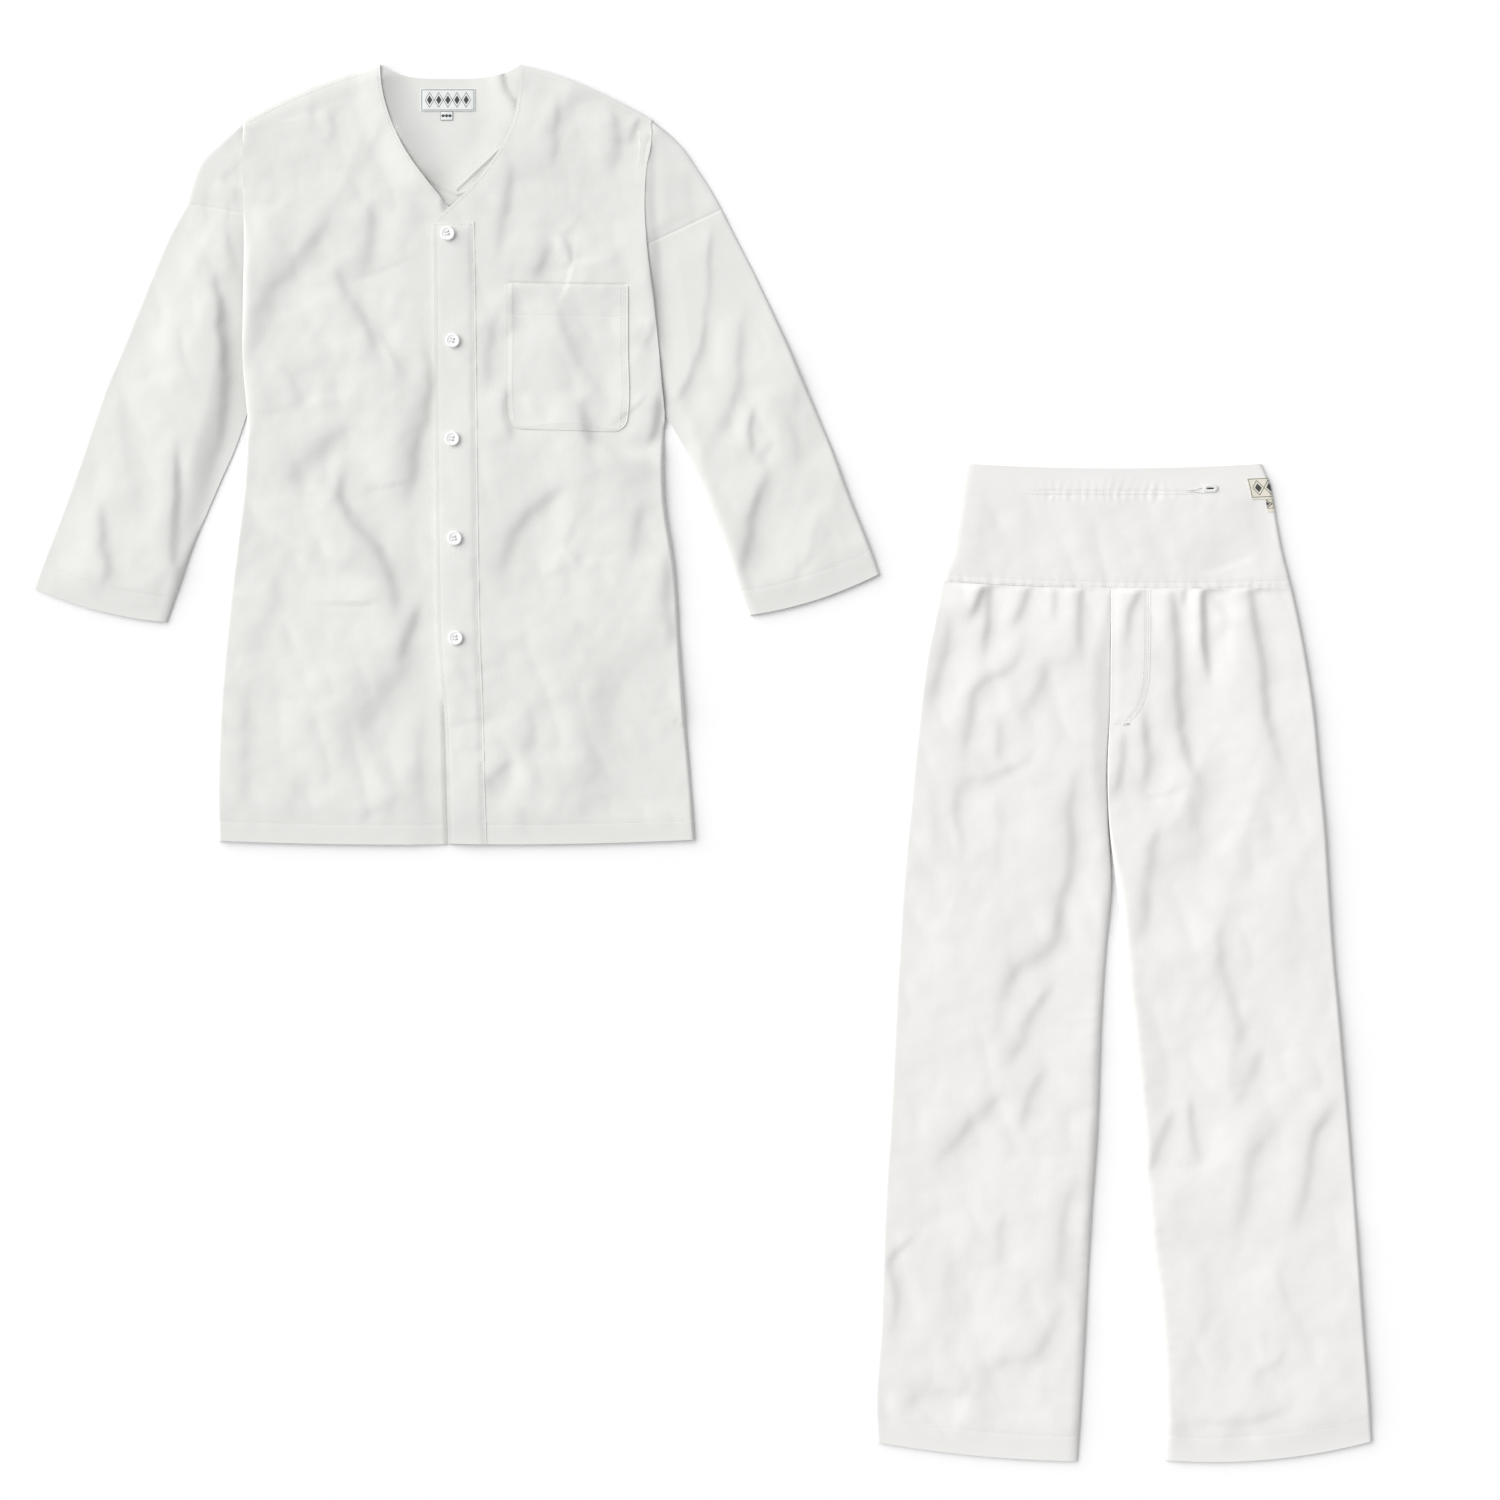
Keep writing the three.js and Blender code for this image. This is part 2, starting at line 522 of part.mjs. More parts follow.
// Columns of the lapping front, as places at its chest: the placket, the pocket, and the side.
const CHEST = { edge: 435, side: 659.5 };
const PLACKET_COLUMNS = [CHEST.edge, 447, 462, 476.5];
const POCKET_COLUMNS = [505, 517, 534, 552, 570, 588, 606, 617, 628];
const SIDE_COLUMNS = [640, 649.5, 655, 658];
// Rows of the lapping front, counted as its rows table is.
const PLACKET_TOP = 11;
const POCKET = { bottom: 6, corner: 6.75, top: 9 };

function buildFrontLeft() {
  const columns = [...PLACKET_COLUMNS, 490, ...POCKET_COLUMNS, ...SIDE_COLUMNS, CHEST.side];
  const shares = columns.map((x) => (x - CHEST.edge) / (CHEST.side - CHEST.edge));
  const places = [...downPlaces(FRONT_LEFT_ROWS), POCKET.corner].sort((a, b) => a - b);
  const grid = layRows(FRONT_LEFT_ROWS, () => shares, places);
  const front = panelPoints(grid, frontHeight(FRONT_LEFT_ROWS, 'fromSecond'));
  const cap = capPoints(CAP_LEFT_ROWS);
  add('shirt_front_left', geometryOf(solidOf(clothWall(front)).add(solidOf(clothWall(cap)))));
  return { front, places };
}

// A second layer on part of a panel, made from the panel's own points moved out.
function layerOn(points, [firstRow, lastRow], [firstColumn, lastColumn], thickness, cutCorners) {
  const normals = gridNormals(points);
  const part = (distance) => movedOut(points, distance, normals)
    .slice(firstRow, lastRow + 1)
    .map((row) => row.slice(firstColumn, lastColumn + 1));
  return wallBetween(part(GAP + thickness), part(GAP), cutCorners);
}

const rowAt = (places, place) => places.findIndex((value) => Math.abs(value - place) < 1e-6);

function buildPlacketAndPocket({ front, places }) {
  add('placket', layerOn(front, [0, rowAt(places, PLACKET_TOP)], [0, PLACKET_COLUMNS.length - 1], CLOTH));
  const firstColumn = PLACKET_COLUMNS.length + 1;
  const width = POCKET_COLUMNS.length - 1;
  const rows = [rowAt(places, POCKET.bottom), rowAt(places, POCKET.top)];
  add('pocket', layerOn(front, rows, [firstColumn, firstColumn + width], CLOTH, [[0, 0], [0, width]]));
}

const BUTTON_PLACES = [[448, 234], [453, 341], [452.5, 439], [455, 538.5], [456, 638]];

function buildButtons() {
  const { radius, height, rim, dish, hole, pitch, sides } = BUTTON;
  const profile = [
    [0, 0], [radius - 1.4, 0], [radius, height * 0.45], [radius - 0.6, height], [radius - rim, height],
    [radius - rim - 1, height - dish], [0, height - dish],
  ].map(([x, z]) => new THREE.Vector2(x, z));
  const disc = solidOf(new THREE.LatheGeometry(profile, sides).rotateX(Math.PI / 2));
  const drill = (x, y) => solidOf(
    new THREE.CylinderGeometry(hole, hole, height * 3, 6).rotateX(Math.PI / 2).translate(x, y, 0),
  );
  const holes = [[-1, -1], [1, -1], [1, 1], [-1, 1]].map(([x, y]) => drill(x * pitch, y * pitch));
  const drilled = holes.reduce((button, cutter) => button.subtract(cutter), disc);
  BUTTON_PLACES.forEach(([x, y], k) => {
    const top = shirtFace(x, y) + CLOTH + GAP;
    const mesh = add(`button_${k + 1}`, geometryOf(drilled), BUTTON_WHITE);
    mesh.position.copy(onTable({ x, y }, top + GAP));
  });
}

const SHIRT_BACK_OUTLINE = [
  [217.6, 840.7], [216.4, 784], [219.4, 706], [227, 618], [235.4, 547], [243, 486], [247.7, 414.6],
  [251, 396], [251.4, 213.75], [186.5, 203], [191.5, 180], [200.5, 160], [220, 141], [243, 120], [280, 101],
  [320, 82], [352, 71], [379.8, 63.7], [389, 70], [398, 74.6], [412, 77.4], [449, 78.2], [486, 75.4],
  [501, 71.4], [512.6, 66.4], [520.4, 63.7], [548, 73], [581, 84], [610, 96.6], [637, 108], [652, 119.4],
  [668, 133], [682.6, 147.4], [695.6, 166.4], [709, 187], [721.2, 208.2], [637.6, 247.4], [640.6, 275],
  [644.2, 304], [649.6, 342], [652.6, 377], [663.6, 414.4], [663.6, 430], [664.4, 500], [675, 572],
  [679.5, 645], [684.5, 715], [691, 790], [694.6, 839.7], [580, 844.6], [456, 846], [330, 844.6],
];

function buildShirtBack() {
  add('shirt_back', flatPiece(SHIRT_BACK_OUTLINE, 0, CLOTH));
}

// The two stretches of the neck facing that show inside the V, one resting on the other.
const FACING_RIGHT_OUTLINE = [
  [404, 156], [413, 165], [424, 176], [434.6, 184], [447, 191], [457.6, 193.4], [465.6, 191], [476, 182.4],
  [480, 188], [470, 199], [456, 208], [449, 211], [438, 199], [424, 184], [410, 168],
];
const FACING_LEFT_OUTLINE = [
  [500, 147.4], [478, 168.2], [455.6, 189.4], [463, 203], [475, 193], [487, 179], [497, 163], [505, 149],
];

function buildNeckFacings() {
  add('neck_facing_right', flatPiece(FACING_RIGHT_OUTLINE, CLOTH + GAP, CLOTH));
  add('neck_facing_left', flatPiece(FACING_LEFT_OUTLINE, 2 * (CLOTH + GAP), CLOTH));
}

const NECK_LABEL = { left: 420.3, right: 474.8, top: 88, bottom: 110.4 };
const SIZE_TAB = { left: 440, right: 452.4, top: 110.7, bottom: 119.4 };

function buildNeckLabel() {
  const label = ({ left, right, top, bottom }) => {
    const outline = [[left, bottom], [right, bottom], [right, top], [left, top]];
    return flatPiece(outline, CLOTH + GAP, LABEL_CLOTH);
  };
  add('neck_label', label(NECK_LABEL), LABEL_WHITE);
  add('size_tab', label(SIZE_TAB), LABEL_WHITE);
}

function buildSleeve(name, rows) {
  const shares = evenShares(8, { first: true, second: true });
  add(name, clothWall(tubePoints({ rows, shares, height: sleeveFace })));
}

function buildLeg(name, rows, extraPlaces = []) {
  const shares = evenShares(13, { first: true, second: true });
  const places = [...downPlaces(rows), ...extraPlaces].sort((a, b) => a - b);
  const points = tubePoints({ rows, shares, height: trouserFace, places });
  add(name, clothWall(points));
  return { points, places };
}

// The fly is topstitched beside the centre seam, down to a corner that is cut across.
const FLY_END = 3.3;

function buildFly({ points, places }) {
  const lastColumn = points[0].length - 2;
  const COLUMNS = 4;
  const end = rowAt(places, FLY_END);
  add('fly', layerOn(points, [0, end], [lastColumn - COLUMNS, lastColumn], CLOTH, [[end, 0]]));
}

// The label crosses the folded edge of the band between rows 1 and 2, and the tab hangs from it.
const LABEL_EDGE = 1248;
const BAND_PLACES = [0, 1, 1.5, 2, 2.012, 2.36, 3, 3.5, 4];
const LABEL_ROWS = [1, 2];
const TAB_ROWS = [2.012, 2.36];

function buildWaistband() {
  const firstEnd = endCurve(WAISTBAND_ROWS, 'first');
  const EDGE = [1.5, 4.5, 10];
  const COUNT = 15;
  const shares = (width, place) => {
    const label = firstEnd(place)[0] - LABEL_EDGE;
    const rest = Array.from({ length: COUNT }, (_, k) => mix(label, width - EDGE[2], k / COUNT));
    const distances = [0, ...EDGE, ...rest, ...EDGE.map((d) => width - d).reverse(), width];
    return distances.map((distance) => distance / width);
  };
  const onLabel = ({ place }) => place > LABEL_ROWS[0] - 0.01 && place < LABEL_ROWS[1] + 0.02;
  const lift = (point) => (onLabel(point) && point.fromFirst < 40 ? GAP + LABEL_CLOTH : 0);
  const height = () => BAND_LOFT;
  const points = tubePoints({
    rows: WAISTBAND_ROWS, shares, height, places: BAND_PLACES, hem: 'fromStart', lift,
  });
  add('waistband', clothWall(points));
  // Columns 2 to 4 are the under layer, column 5 the fold and column 9 the label's edge on the front.
  const label = (places, columns) => (
    layerOn(points, places.map((place) => rowAt(BAND_PLACES, place)), columns, LABEL_CLOTH)
  );
  add('waist_label', label(LABEL_ROWS, [2, 9]), LABEL_WHITE);
  add('waist_tab', label(TAB_ROWS, [6, 8]), LABEL_WHITE);
}

// The oval of close stitches round the slot through which the casing's cord passes.
const EYELET = { x: 1210.5, y: 488.4, length: 15, width: 8, slot: 9, slit: 2, height: 1.1 };

function buildEyelet() {
  const { x, y, length, width, slot, slit, height } = EYELET;
  const oval = (long, wide) => {
    const straight = (long - wide) / 2;
    const path = new THREE.Path();
    path.absarc(straight, 0, wide / 2, -Math.PI / 2, Math.PI / 2);
    path.absarc(-straight, 0, wide / 2, Math.PI / 2, Math.PI * 1.5);
    return path.getPoints(6);
  };
  const shape = new THREE.Shape(oval(length, width));
  shape.holes.push(new THREE.Path(oval(slot, slit)));
  const ring = new THREE.ExtrudeGeometry(shape, { depth: height, bevelEnabled: false });
  add('eyelet', ring).position.copy(onTable({ x, y }, BAND_LOFT + GAP));
}

buildShirtBack();
buildFrontRight();
buildPlacketAndPocket(buildFrontLeft());
buildButtons();
buildNeckFacings();
buildNeckLabel();
buildSleeve('sleeve_right', SLEEVE_RIGHT_ROWS);
buildSleeve('sleeve_left', SLEEVE_LEFT_ROWS);
buildWaistband();
buildEyelet();
buildLeg('leg_right', LEG_RIGHT_ROWS);
buildFly(buildLeg('leg_left', LEG_LEFT_ROWS, [FLY_END]));

export default group;
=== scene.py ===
"""A plain white cotton festival shirt and trousers, laid flat side by side on a pale table."""
import math
from collections import namedtuple

import bpy
import numpy as np
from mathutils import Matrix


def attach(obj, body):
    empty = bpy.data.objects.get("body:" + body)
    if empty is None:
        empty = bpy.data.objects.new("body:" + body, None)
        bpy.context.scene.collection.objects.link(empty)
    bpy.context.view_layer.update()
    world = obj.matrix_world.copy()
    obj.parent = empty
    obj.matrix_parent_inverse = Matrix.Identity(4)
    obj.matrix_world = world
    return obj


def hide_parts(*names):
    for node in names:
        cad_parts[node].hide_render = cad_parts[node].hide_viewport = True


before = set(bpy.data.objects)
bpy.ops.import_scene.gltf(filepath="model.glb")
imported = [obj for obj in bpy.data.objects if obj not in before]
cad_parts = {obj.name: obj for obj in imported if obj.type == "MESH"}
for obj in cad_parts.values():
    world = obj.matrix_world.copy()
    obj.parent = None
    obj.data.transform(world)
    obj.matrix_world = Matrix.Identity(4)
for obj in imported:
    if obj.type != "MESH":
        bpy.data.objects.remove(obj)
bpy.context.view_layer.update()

# The back of the shirt
# One panel of plain woven cotton, cut from neck to hem, that lies on the table. Its inner side shows inside
# the V of the neck, and its outer side, which is the underside here, keeps soft creases from packing.

MM = 0.001
TABLE = {"left": -702.5, "far": 763.07}
CLOTH = 0.8
SHIRT_MIDDLE = 450

Fold = namedtuple("Fold", "width height path")
Row = namedtuple("Row", "first second bow edge foot reach corner", defaults=(0, 2.3, 1.7, 10, False))


def smooth(value):
    value = np.clip(value, 0, 1)
    return value * value * (3 - 2 * value)


def quarter_round(value):
    return np.sqrt(1 - (1 - np.clip(value, 0, 1)) ** 2)


def mix(start, end, share):
    return start + (end - start) * share


def unevenness(x, y, size, seed):
    """Soft random hills about 1 high, size mm apart."""
    side = 64
    lattice = np.random.default_rng(seed).uniform(-1, 1, (side, side))
    u, v = np.asarray(x, float) / size + 17.3, np.asarray(y, float) / size + 5.9
    i, j = np.floor(u).astype(int), np.floor(v).astype(int)
    a, b = smooth(u - i), smooth(v - j)

    def at(m, n):
        return lattice[(i + m) % side, (j + n) % side]

    return mix(mix(at(0, 0), at(1, 0), a), mix(at(0, 1), at(1, 1), a), b)


def soft_line(points, steps=5):
    """A smooth line through a few points."""
    p = np.array(points, float)
    p = np.vstack([2 * p[0] - p[1], p, 2 * p[-1] - p[-2]])
    t = (np.arange(steps) / steps)[:, None]
    spans = [
        0.5 * (2 * b + (c - a) * t + (2 * a - 5 * b + 4 * c - d) * t**2 + (3 * b - 3 * c + d - a) * t**3)
        for a, b, c, d in zip(p[:-3], p[1:-2], p[2:-1], p[3:])
    ]
    return np.vstack([*spans, p[-2:-1]])


def beside(line, x, y):
    """How far along a line each place lies, as a share of its length, and how far to its right."""
    steps = np.diff(line, axis=0)
    lengths = np.hypot(*steps.T)
    passed = np.concatenate([[0], np.cumsum(lengths)])
    best = np.full(x.shape, np.inf)
    along, right = np.zeros(x.shape), np.zeros(x.shape)
    for (ax, ay), (dx, dy), length, start in zip(line, steps / lengths[:, None], lengths, passed):
        reach = np.clip((x - ax) * dx + (y - ay) * dy, 0, length)
        distance = np.hypot(x - ax - dx * reach, y - ay - dy * reach)
        nearer = distance < best
        best = np.where(nearer, distance, best)
        along = np.where(nearer, (start + reach) / passed[-1], along)
        right = np.where(nearer, np.sign(dy * (x - ax) - dx * (y - ay)) * distance, right)
    return along, right


FOLD_DEPTH = 0.62
FOLD_REACH = 10
CORE_SHARE = 0.28
BROAD = 2.9


def fold_profile(reach):
    """Height across a fold: a crest, a slope down to a trough, and long soft sides."""
    return -2.6 * reach / (1 + reach**2) ** 1.5


def folded(folds, x, y, taper=0.32):
    """Height of folds. Each is high on the left of its path as it runs down, and low on the right."""
    height = np.zeros(x.shape)
    for fold in folds:
        line = soft_line(fold.path)
        margin = FOLD_REACH * fold.width
        low, high = line.min(0) - margin, line.max(0) + margin
        near = (x > low[0]) & (x < high[0]) & (y > low[1]) & (y < high[1])
        if not near.any():
            continue
        along, right = beside(line, x[near], y[near])
        strength = smooth(along / taper) * smooth((1 - along) / taper)
        reach = right / (fold.width * (0.8 + 0.5 * along))
        shape = CORE_SHARE * fold_profile(reach) + (1 - CORE_SHARE) * fold_profile(reach / BROAD)
        fade = smooth((FOLD_REACH - np.abs(right) / fold.width) / 4)
        height[near] += FOLD_DEPTH * fold.height * strength * fade * shape
    return height


def settle(height, floor):
    """Keeps a height above a floor, with a soft turn."""
    return floor + np.logaddexp(0, (height - floor) * 1.6) / 1.6


def held_down(height, ceiling):
    """Keeps a height under a ceiling, with a soft turn."""
    return -settle(-height, -ceiling)


def wandering(x, y, seed, amount=1):
    """The same places, moved a little, so that a fold drawn as a smooth line wanders as a real one does."""
    def shift(by):
        return amount * (4 * unevenness(x, y, 42, seed + by) + 1.4 * unevenness(x, y, 13, seed + 7 + by))

    return x + shift(0), y + shift(1)


def creased(x, y, size, seed):
    """Low hills that meet in soft creases, drawn out a little down the cloth."""
    hills = unevenness(x + 0.35 * y, 0.62 * y - 0.3 * x, size, seed)
    return 0.4 - np.sqrt(hills**2 + 0.004)


def handled(x, y, seed):
    """The unevenness of cotton that has been washed, folded and laid out by hand."""
    return (
        0.9 * unevenness(x + 0.5 * y, y - 0.5 * x, 90, seed)
        + 1.5 * creased(x, y, 66, seed + 2)
        - 0.8 * creased(x - 0.7 * y, y + 0.4 * x, 34, seed + 3)
        + 0.22 * unevenness(x - 0.4 * y, y + 0.4 * x, 15, seed + 4)
        + 0.05 * unevenness(x, y, 6, seed + 5)
    )


def under_face(x, y, folds=()):
    """Height of the cloth that lies on the table, which is flat but for shallow creases."""
    creases = folded(folds, *wandering(x, y, 61))
    return np.clip(0.16 + creases + 0.12 * handled(x, y, 63), 0, None)


def ends(rows, end, places):
    """A smooth curve through one end of all rows, which turns sharply only at rows marked corner."""
    at = np.array([getattr(row, end) for row in rows], float)
    chords = np.maximum(np.hypot(*np.diff(at, axis=0).T), 1)
    straight = np.diff(at, axis=0) / chords[:, None]

    def slope(k, span):
        if k in (0, len(rows) - 1) or rows[k].corner:
            return straight[span]
        before, after = chords[k - 1], chords[k]
        return (straight[k - 1] * after + straight[k] * before) / (before + after)

    found = []
    for place in places:
        k = min(int(place), len(rows) - 2)
        t, length = place - k, chords[k]
        found.append(
            (2 * t**3 - 3 * t**2 + 1) * at[k] + (t**3 - 2 * t**2 + t) * length * slope(k, k)
            + (3 * t**2 - 2 * t**3) * at[k + 1] + (t**3 - t**2) * length * slope(k + 1, k)
        )
    return np.array(found)


def row_value(rows, name, places):
    return np.interp(places, np.arange(len(rows)), [getattr(row, name) for row in rows])


EDGE_STEPS = (0.5, 1.2, 2.2, 3.6, 5.4, 7.6, 10)


def places_down(rows, pitch, from_first=None, from_last=None, fine_at=None):
    """Places counted in rows, about pitch mm apart, closer at both ends, at a seam and at the row fine_at."""
    at = [np.array([getattr(row, end) for row in rows], float) for end in ("first", "second")]
    longest = np.maximum(*(np.hypot(*np.diff(line, axis=0).T) for line in at))
    places = [0.0]
    for k, length in enumerate(longest):
        steps = max(1, round(length / pitch))
        places += [k + (step + 1) / steps for step in range(steps)]
    near = np.array(EDGE_STEPS[:4])
    last = len(rows) - 1
    extra = [*near / longest[0], *(last - near / longest[-1])]
    groove = np.array([-1.3, 0, 1.3])
    if from_first:
        extra += [*(from_first + groove) / longest[0]]
    if from_last:
        extra += [*(last - (from_last + groove) / longest[-1])]
    if fine_at:
        extra += [*(fine_at + np.arange(-5, 6) * 0.8 / longest[fine_at])]
    return np.unique(np.round([*places, *extra], 5))


def across(pitch, widest, first_edge=True, second_edge=True):
    """mm from a row's first end, for its width, closer together towards the ends that are cloth edges."""
    lead = np.array(EDGE_STEPS if first_edge else EDGE_STEPS[:2])
    tail = np.array(EDGE_STEPS if second_edge else EDGE_STEPS[:2])
    count = max(1, round((widest - lead[-1] - tail[-1]) / pitch))

    def distances(width):
        squeeze = min(1, width / 30)
        near, far = lead * squeeze, width - tail * squeeze
        between = np.linspace(near[-1], far[-1], count, endpoint=False)
        return np.concatenate([[0], near[:-1], between, far[::-1], [width]])

    return distances


Laid = namedtuple("Laid", "x y first second start last place")


def lay(rows, places, distances):
    """Places on the table through the rows, and how far each is from both ends, the first and last row."""
    a, b = ends(rows, "first", places), ends(rows, "second", places)
    width = np.hypot(*(b - a).T)
    first = np.array([distances(w) for w in width])
    share = first / width[:, None]
    bow = row_value(rows, "bow", places)[:, None]
    x = mix(a[:, :1], b[:, :1], share)
    y = mix(a[:, 1:], b[:, 1:], share) + bow * 4 * share * (1 - share)
    steps = np.hypot(np.diff(x, axis=0), np.diff(y, axis=0))
    start = np.vstack([np.zeros((1, x.shape[1])), np.cumsum(steps, axis=0)])
    place = np.broadcast_to(places[:, None], x.shape)
    return Laid(x, y, first, width[:, None] - first, start, start[-1] - start, place)


def lay_panel(rows, pitch, widest):
    return lay(rows, places_down(rows, pitch), across(pitch, widest))


def roll(foot, reach, distance, face):
    """A crisp turn from the face down to foot at an edge."""
    return mix(foot, face, quarter_round(distance / reach))


def sink(foot, reach, distance, face):
    """A long slope from the face down to foot."""
    return mix(np.minimum(foot, face), face, smooth(distance / reach))


def on_table(x, y, z):
    return np.stack([x + TABLE["left"], TABLE["far"] - y, z], axis=-1)


def outward(points):
    """The normal at each point of a grid, turned up where the cloth faces up."""
    down, over = np.gradient(points, axis=0), np.gradient(points, axis=1)
    normal = np.cross(over, down)
    normal /= np.maximum(np.linalg.norm(normal, axis=-1, keepdims=True), 1e-9)
    return normal * np.sign(normal[len(points) // 2, -8, 2])


def mesh_object(name, vertices, faces, material, cut=None, sharp=50):
    """A smooth mesh, given in mm. cut holds each vertex's place on the cut cloth, in mm."""
    mesh = bpy.data.meshes.new(name)
    mesh.from_pydata((np.asarray(vertices) * MM).tolist(), [], faces)
    mesh.polygons.foreach_set("use_smooth", [True] * len(mesh.polygons))
    mesh.set_sharp_from_angle(angle=math.radians(sharp))
    if cut is not None:
        attribute = mesh.attributes.new("cut", "FLOAT_VECTOR", "POINT")
        on_cloth = np.column_stack([cut, np.zeros(len(cut))])
        attribute.data.foreach_set("vector", on_cloth.astype(np.float32).ravel())
    mesh.materials.append(material)
    piece = bpy.data.objects.new(name, mesh)
    bpy.context.scene.collection.objects.link(piece)
    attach(piece, "root")
    return piece


def shell(name, points, cut, material, thickness=CLOTH):
    """A closed thin shell behind a grid of points on the cloth's outer face."""
    rows, columns = points.shape[:2]
    count = rows * columns
    inner = points - np.broadcast_to(thickness, (rows, columns))[..., None] * outward(points)
    i, j = np.mgrid[0 : rows - 1, 0 : columns - 1]
    a = (i * columns + j).ravel()
    quads = np.stack([a, a + 1, a + columns + 1, a + columns], axis=1)
    top, side = np.arange(columns), np.arange(rows) * columns
    rim = np.concatenate([top[:-1], side[:-1] + columns - 1, (side[-1] + top[1:])[::-1], side[1:][::-1]])
    following = np.roll(rim, -1)
    walls = np.stack([rim, rim + count, following + count, following], axis=1)
    faces = np.vstack([quads, quads[:, ::-1] + count, walls])
    vertices = np.vstack([points.reshape(-1, 3), inner.reshape(-1, 3)])
    p = [vertices[faces[:, k]] for k in range(3)]
    if np.einsum("ij,ij->", p[0], np.cross(p[1], p[2])) < 0:
        faces = faces[:, ::-1]
    flat = np.stack([cut[0], cut[1]], axis=-1).reshape(-1, 2)
    return mesh_object(name, vertices, faces.tolist(), material, np.vstack([flat, flat]))


def flat_size(points):
    """Greatest width and length of a grid of points, in metres, along the cloth."""
    down = np.linalg.norm(np.diff(points, axis=0), axis=-1).sum(0).max()
    over = np.linalg.norm(np.diff(points, axis=1), axis=-1).sum(1).max()
    return tuple(math.ceil(float(mm) * 100) / 100 * MM for mm in (over, down))


def flat_area(points):
    """Square metres of a grid of points, which is the cut's area."""
    down, over = np.diff(points[:, :-1], axis=0), np.diff(points[:-1], axis=1)
    return float(np.linalg.norm(np.cross(down, over), axis=-1).sum()) * MM * MM


def declare(piece, points, node=None, slot="cotton", **more):
    """Hides the solid that a sheet stands for, if one is named, and works out the size and area of its cut,
    which are not kept.
    """
    if node:
        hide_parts(node)
    flat_size(points)
    flat_area(points)


class Socket:
    """A shader value that can be used in sums."""

    def __init__(self, shader, output):
        self.shader, self.output = shader, output

    def combine(self, operation, first, second=None):
        sockets = {0: first} if second is None else {0: first, 1: second}
        return self.shader.node("Math", {"operation": operation}, sockets)

    def __add__(self, other):
        return self.combine("ADD", self, other)

    def __sub__(self, other):
        return self.combine("SUBTRACT", self, other)

    def __rsub__(self, other):
        return self.combine("SUBTRACT", other, self)

    def __mul__(self, other):
        return self.combine("MULTIPLY", self, other)

    __radd__ = __add__
    __rmul__ = __mul__

    def __lt__(self, other):
        return self.combine("LESS_THAN", self, other)

    def __gt__(self, other):
        return self.combine("GREATER_THAN", self, other)

    def __abs__(self):
        return self.combine("ABSOLUTE", self)

    def sine(self):
        return self.combine("SINE", self)


COLOUR_A, COLOUR_B, COLOUR_OUT = 6, 7, 2


class Shader:
    """A material, with the methods that add its nodes."""

    def __init__(self, name):
        self.material = bpy.data.materials.new(name)
        self.material.use_nodes = True
        self.tree = self.material.node_tree
        self.surface = self.tree.nodes["Principled BSDF"]

    def node(self, kind, settings=None, sockets=None, output=0):
        node = self.tree.nodes.new("ShaderNode" + kind)
        for name, value in (settings or {}).items():
            setattr(node, name, value)
        self.feed(node, sockets or {})
        return Socket(self, node.outputs[output])

    def feed(self, node, sockets):
        for name, value in sockets.items():
            if isinstance(value, Socket):
                self.tree.links.new(value.output, node.inputs[name])
            else:
                node.inputs[name].default_value = value

    def cloth_places(self):
        """The place on the cut cloth, and how far across and along it that is."""
        cut = self.node("Attribute", {"attribute_name": "cut"}, output="Vector")
        return cut, *(self.node("SeparateXYZ", sockets={0: cut}, output=axis) for axis in "XY")

    def surfaced(self, values):
        self.feed(self.surface, values)
        return self.material

    def noise(self, place, scale, detail, **more):
        return self.node("TexNoise", sockets={"Vector": place, "Scale": scale, "Detail": detail, **more})

    def blend(self, share, low, high):
        return self.node("Mix", {"data_type": "RGBA"}, {0: share, COLOUR_A: low, COLOUR_B: high}, COLOUR_OUT)

    def bump(self, strength, distance, height):
        return self.node("Bump", sockets={"Strength": strength, "Distance": distance, "Height": height})


def darker(colour, share):
    return (*(share * part for part in colour[:3]), 1)


WHITE = (0.80, 0.797, 0.773, 1)
# The darker white goes to random dull mottle and slubs, and to the weave's hollows, where it is painted
# shade.
MOTTLED_AND_SHADED_WHITE = (0.742, 0.742, 0.716, 1)


def cotton(name, thread=0.62, light=WHITE, dark=MOTTLED_AND_SHADED_WHITE):
    """Plain woven cotton with slightly uneven yarns, matt, with a short soft nap."""
    shader = Shader(name)
    cut, over, along = shader.cloth_places()
    drift = shader.noise(cut, 0.05, 2)
    warp = (over * (math.pi / thread) + drift * 5).sine()
    weft = (along * (math.pi / thread) + drift * 4).sine()
    pillow = abs(warp * weft)

    def yarns(across_yarn, along_yarn):
        stretched = shader.node("CombineXYZ", sockets={0: across_yarn, 1: along_yarn})
        return shader.noise(stretched, 1, 2, Roughness=0.6)

    slubs = yarns(over * 0.9, along * 0.035) + yarns(over * 0.03, along * 0.9)
    fuzz = shader.noise(cut, 2.4, 3)
    # Random mottle and slubs, and the weave's raised crossings painted lighter than its hollows: painted
    # highlight and shade.
    tone = shader.noise(cut, 0.03, 4) * 0.5 + slubs * 0.3 + pillow * 0.12
    return shader.surfaced({
        "Base Color": shader.blend(tone, dark, light),
        "Roughness": fuzz * 0.1 + 0.82,
        "Normal": shader.bump(0.7, 0.00012, pillow * 0.5 + slubs * 0.75 + fuzz * 0.25),
        "Sheen Weight": 0.12,
        "Sheen Roughness": 0.5,
        "Specular IOR Level": 0.25,
    })


cloth_white = cotton("shirt_cotton")

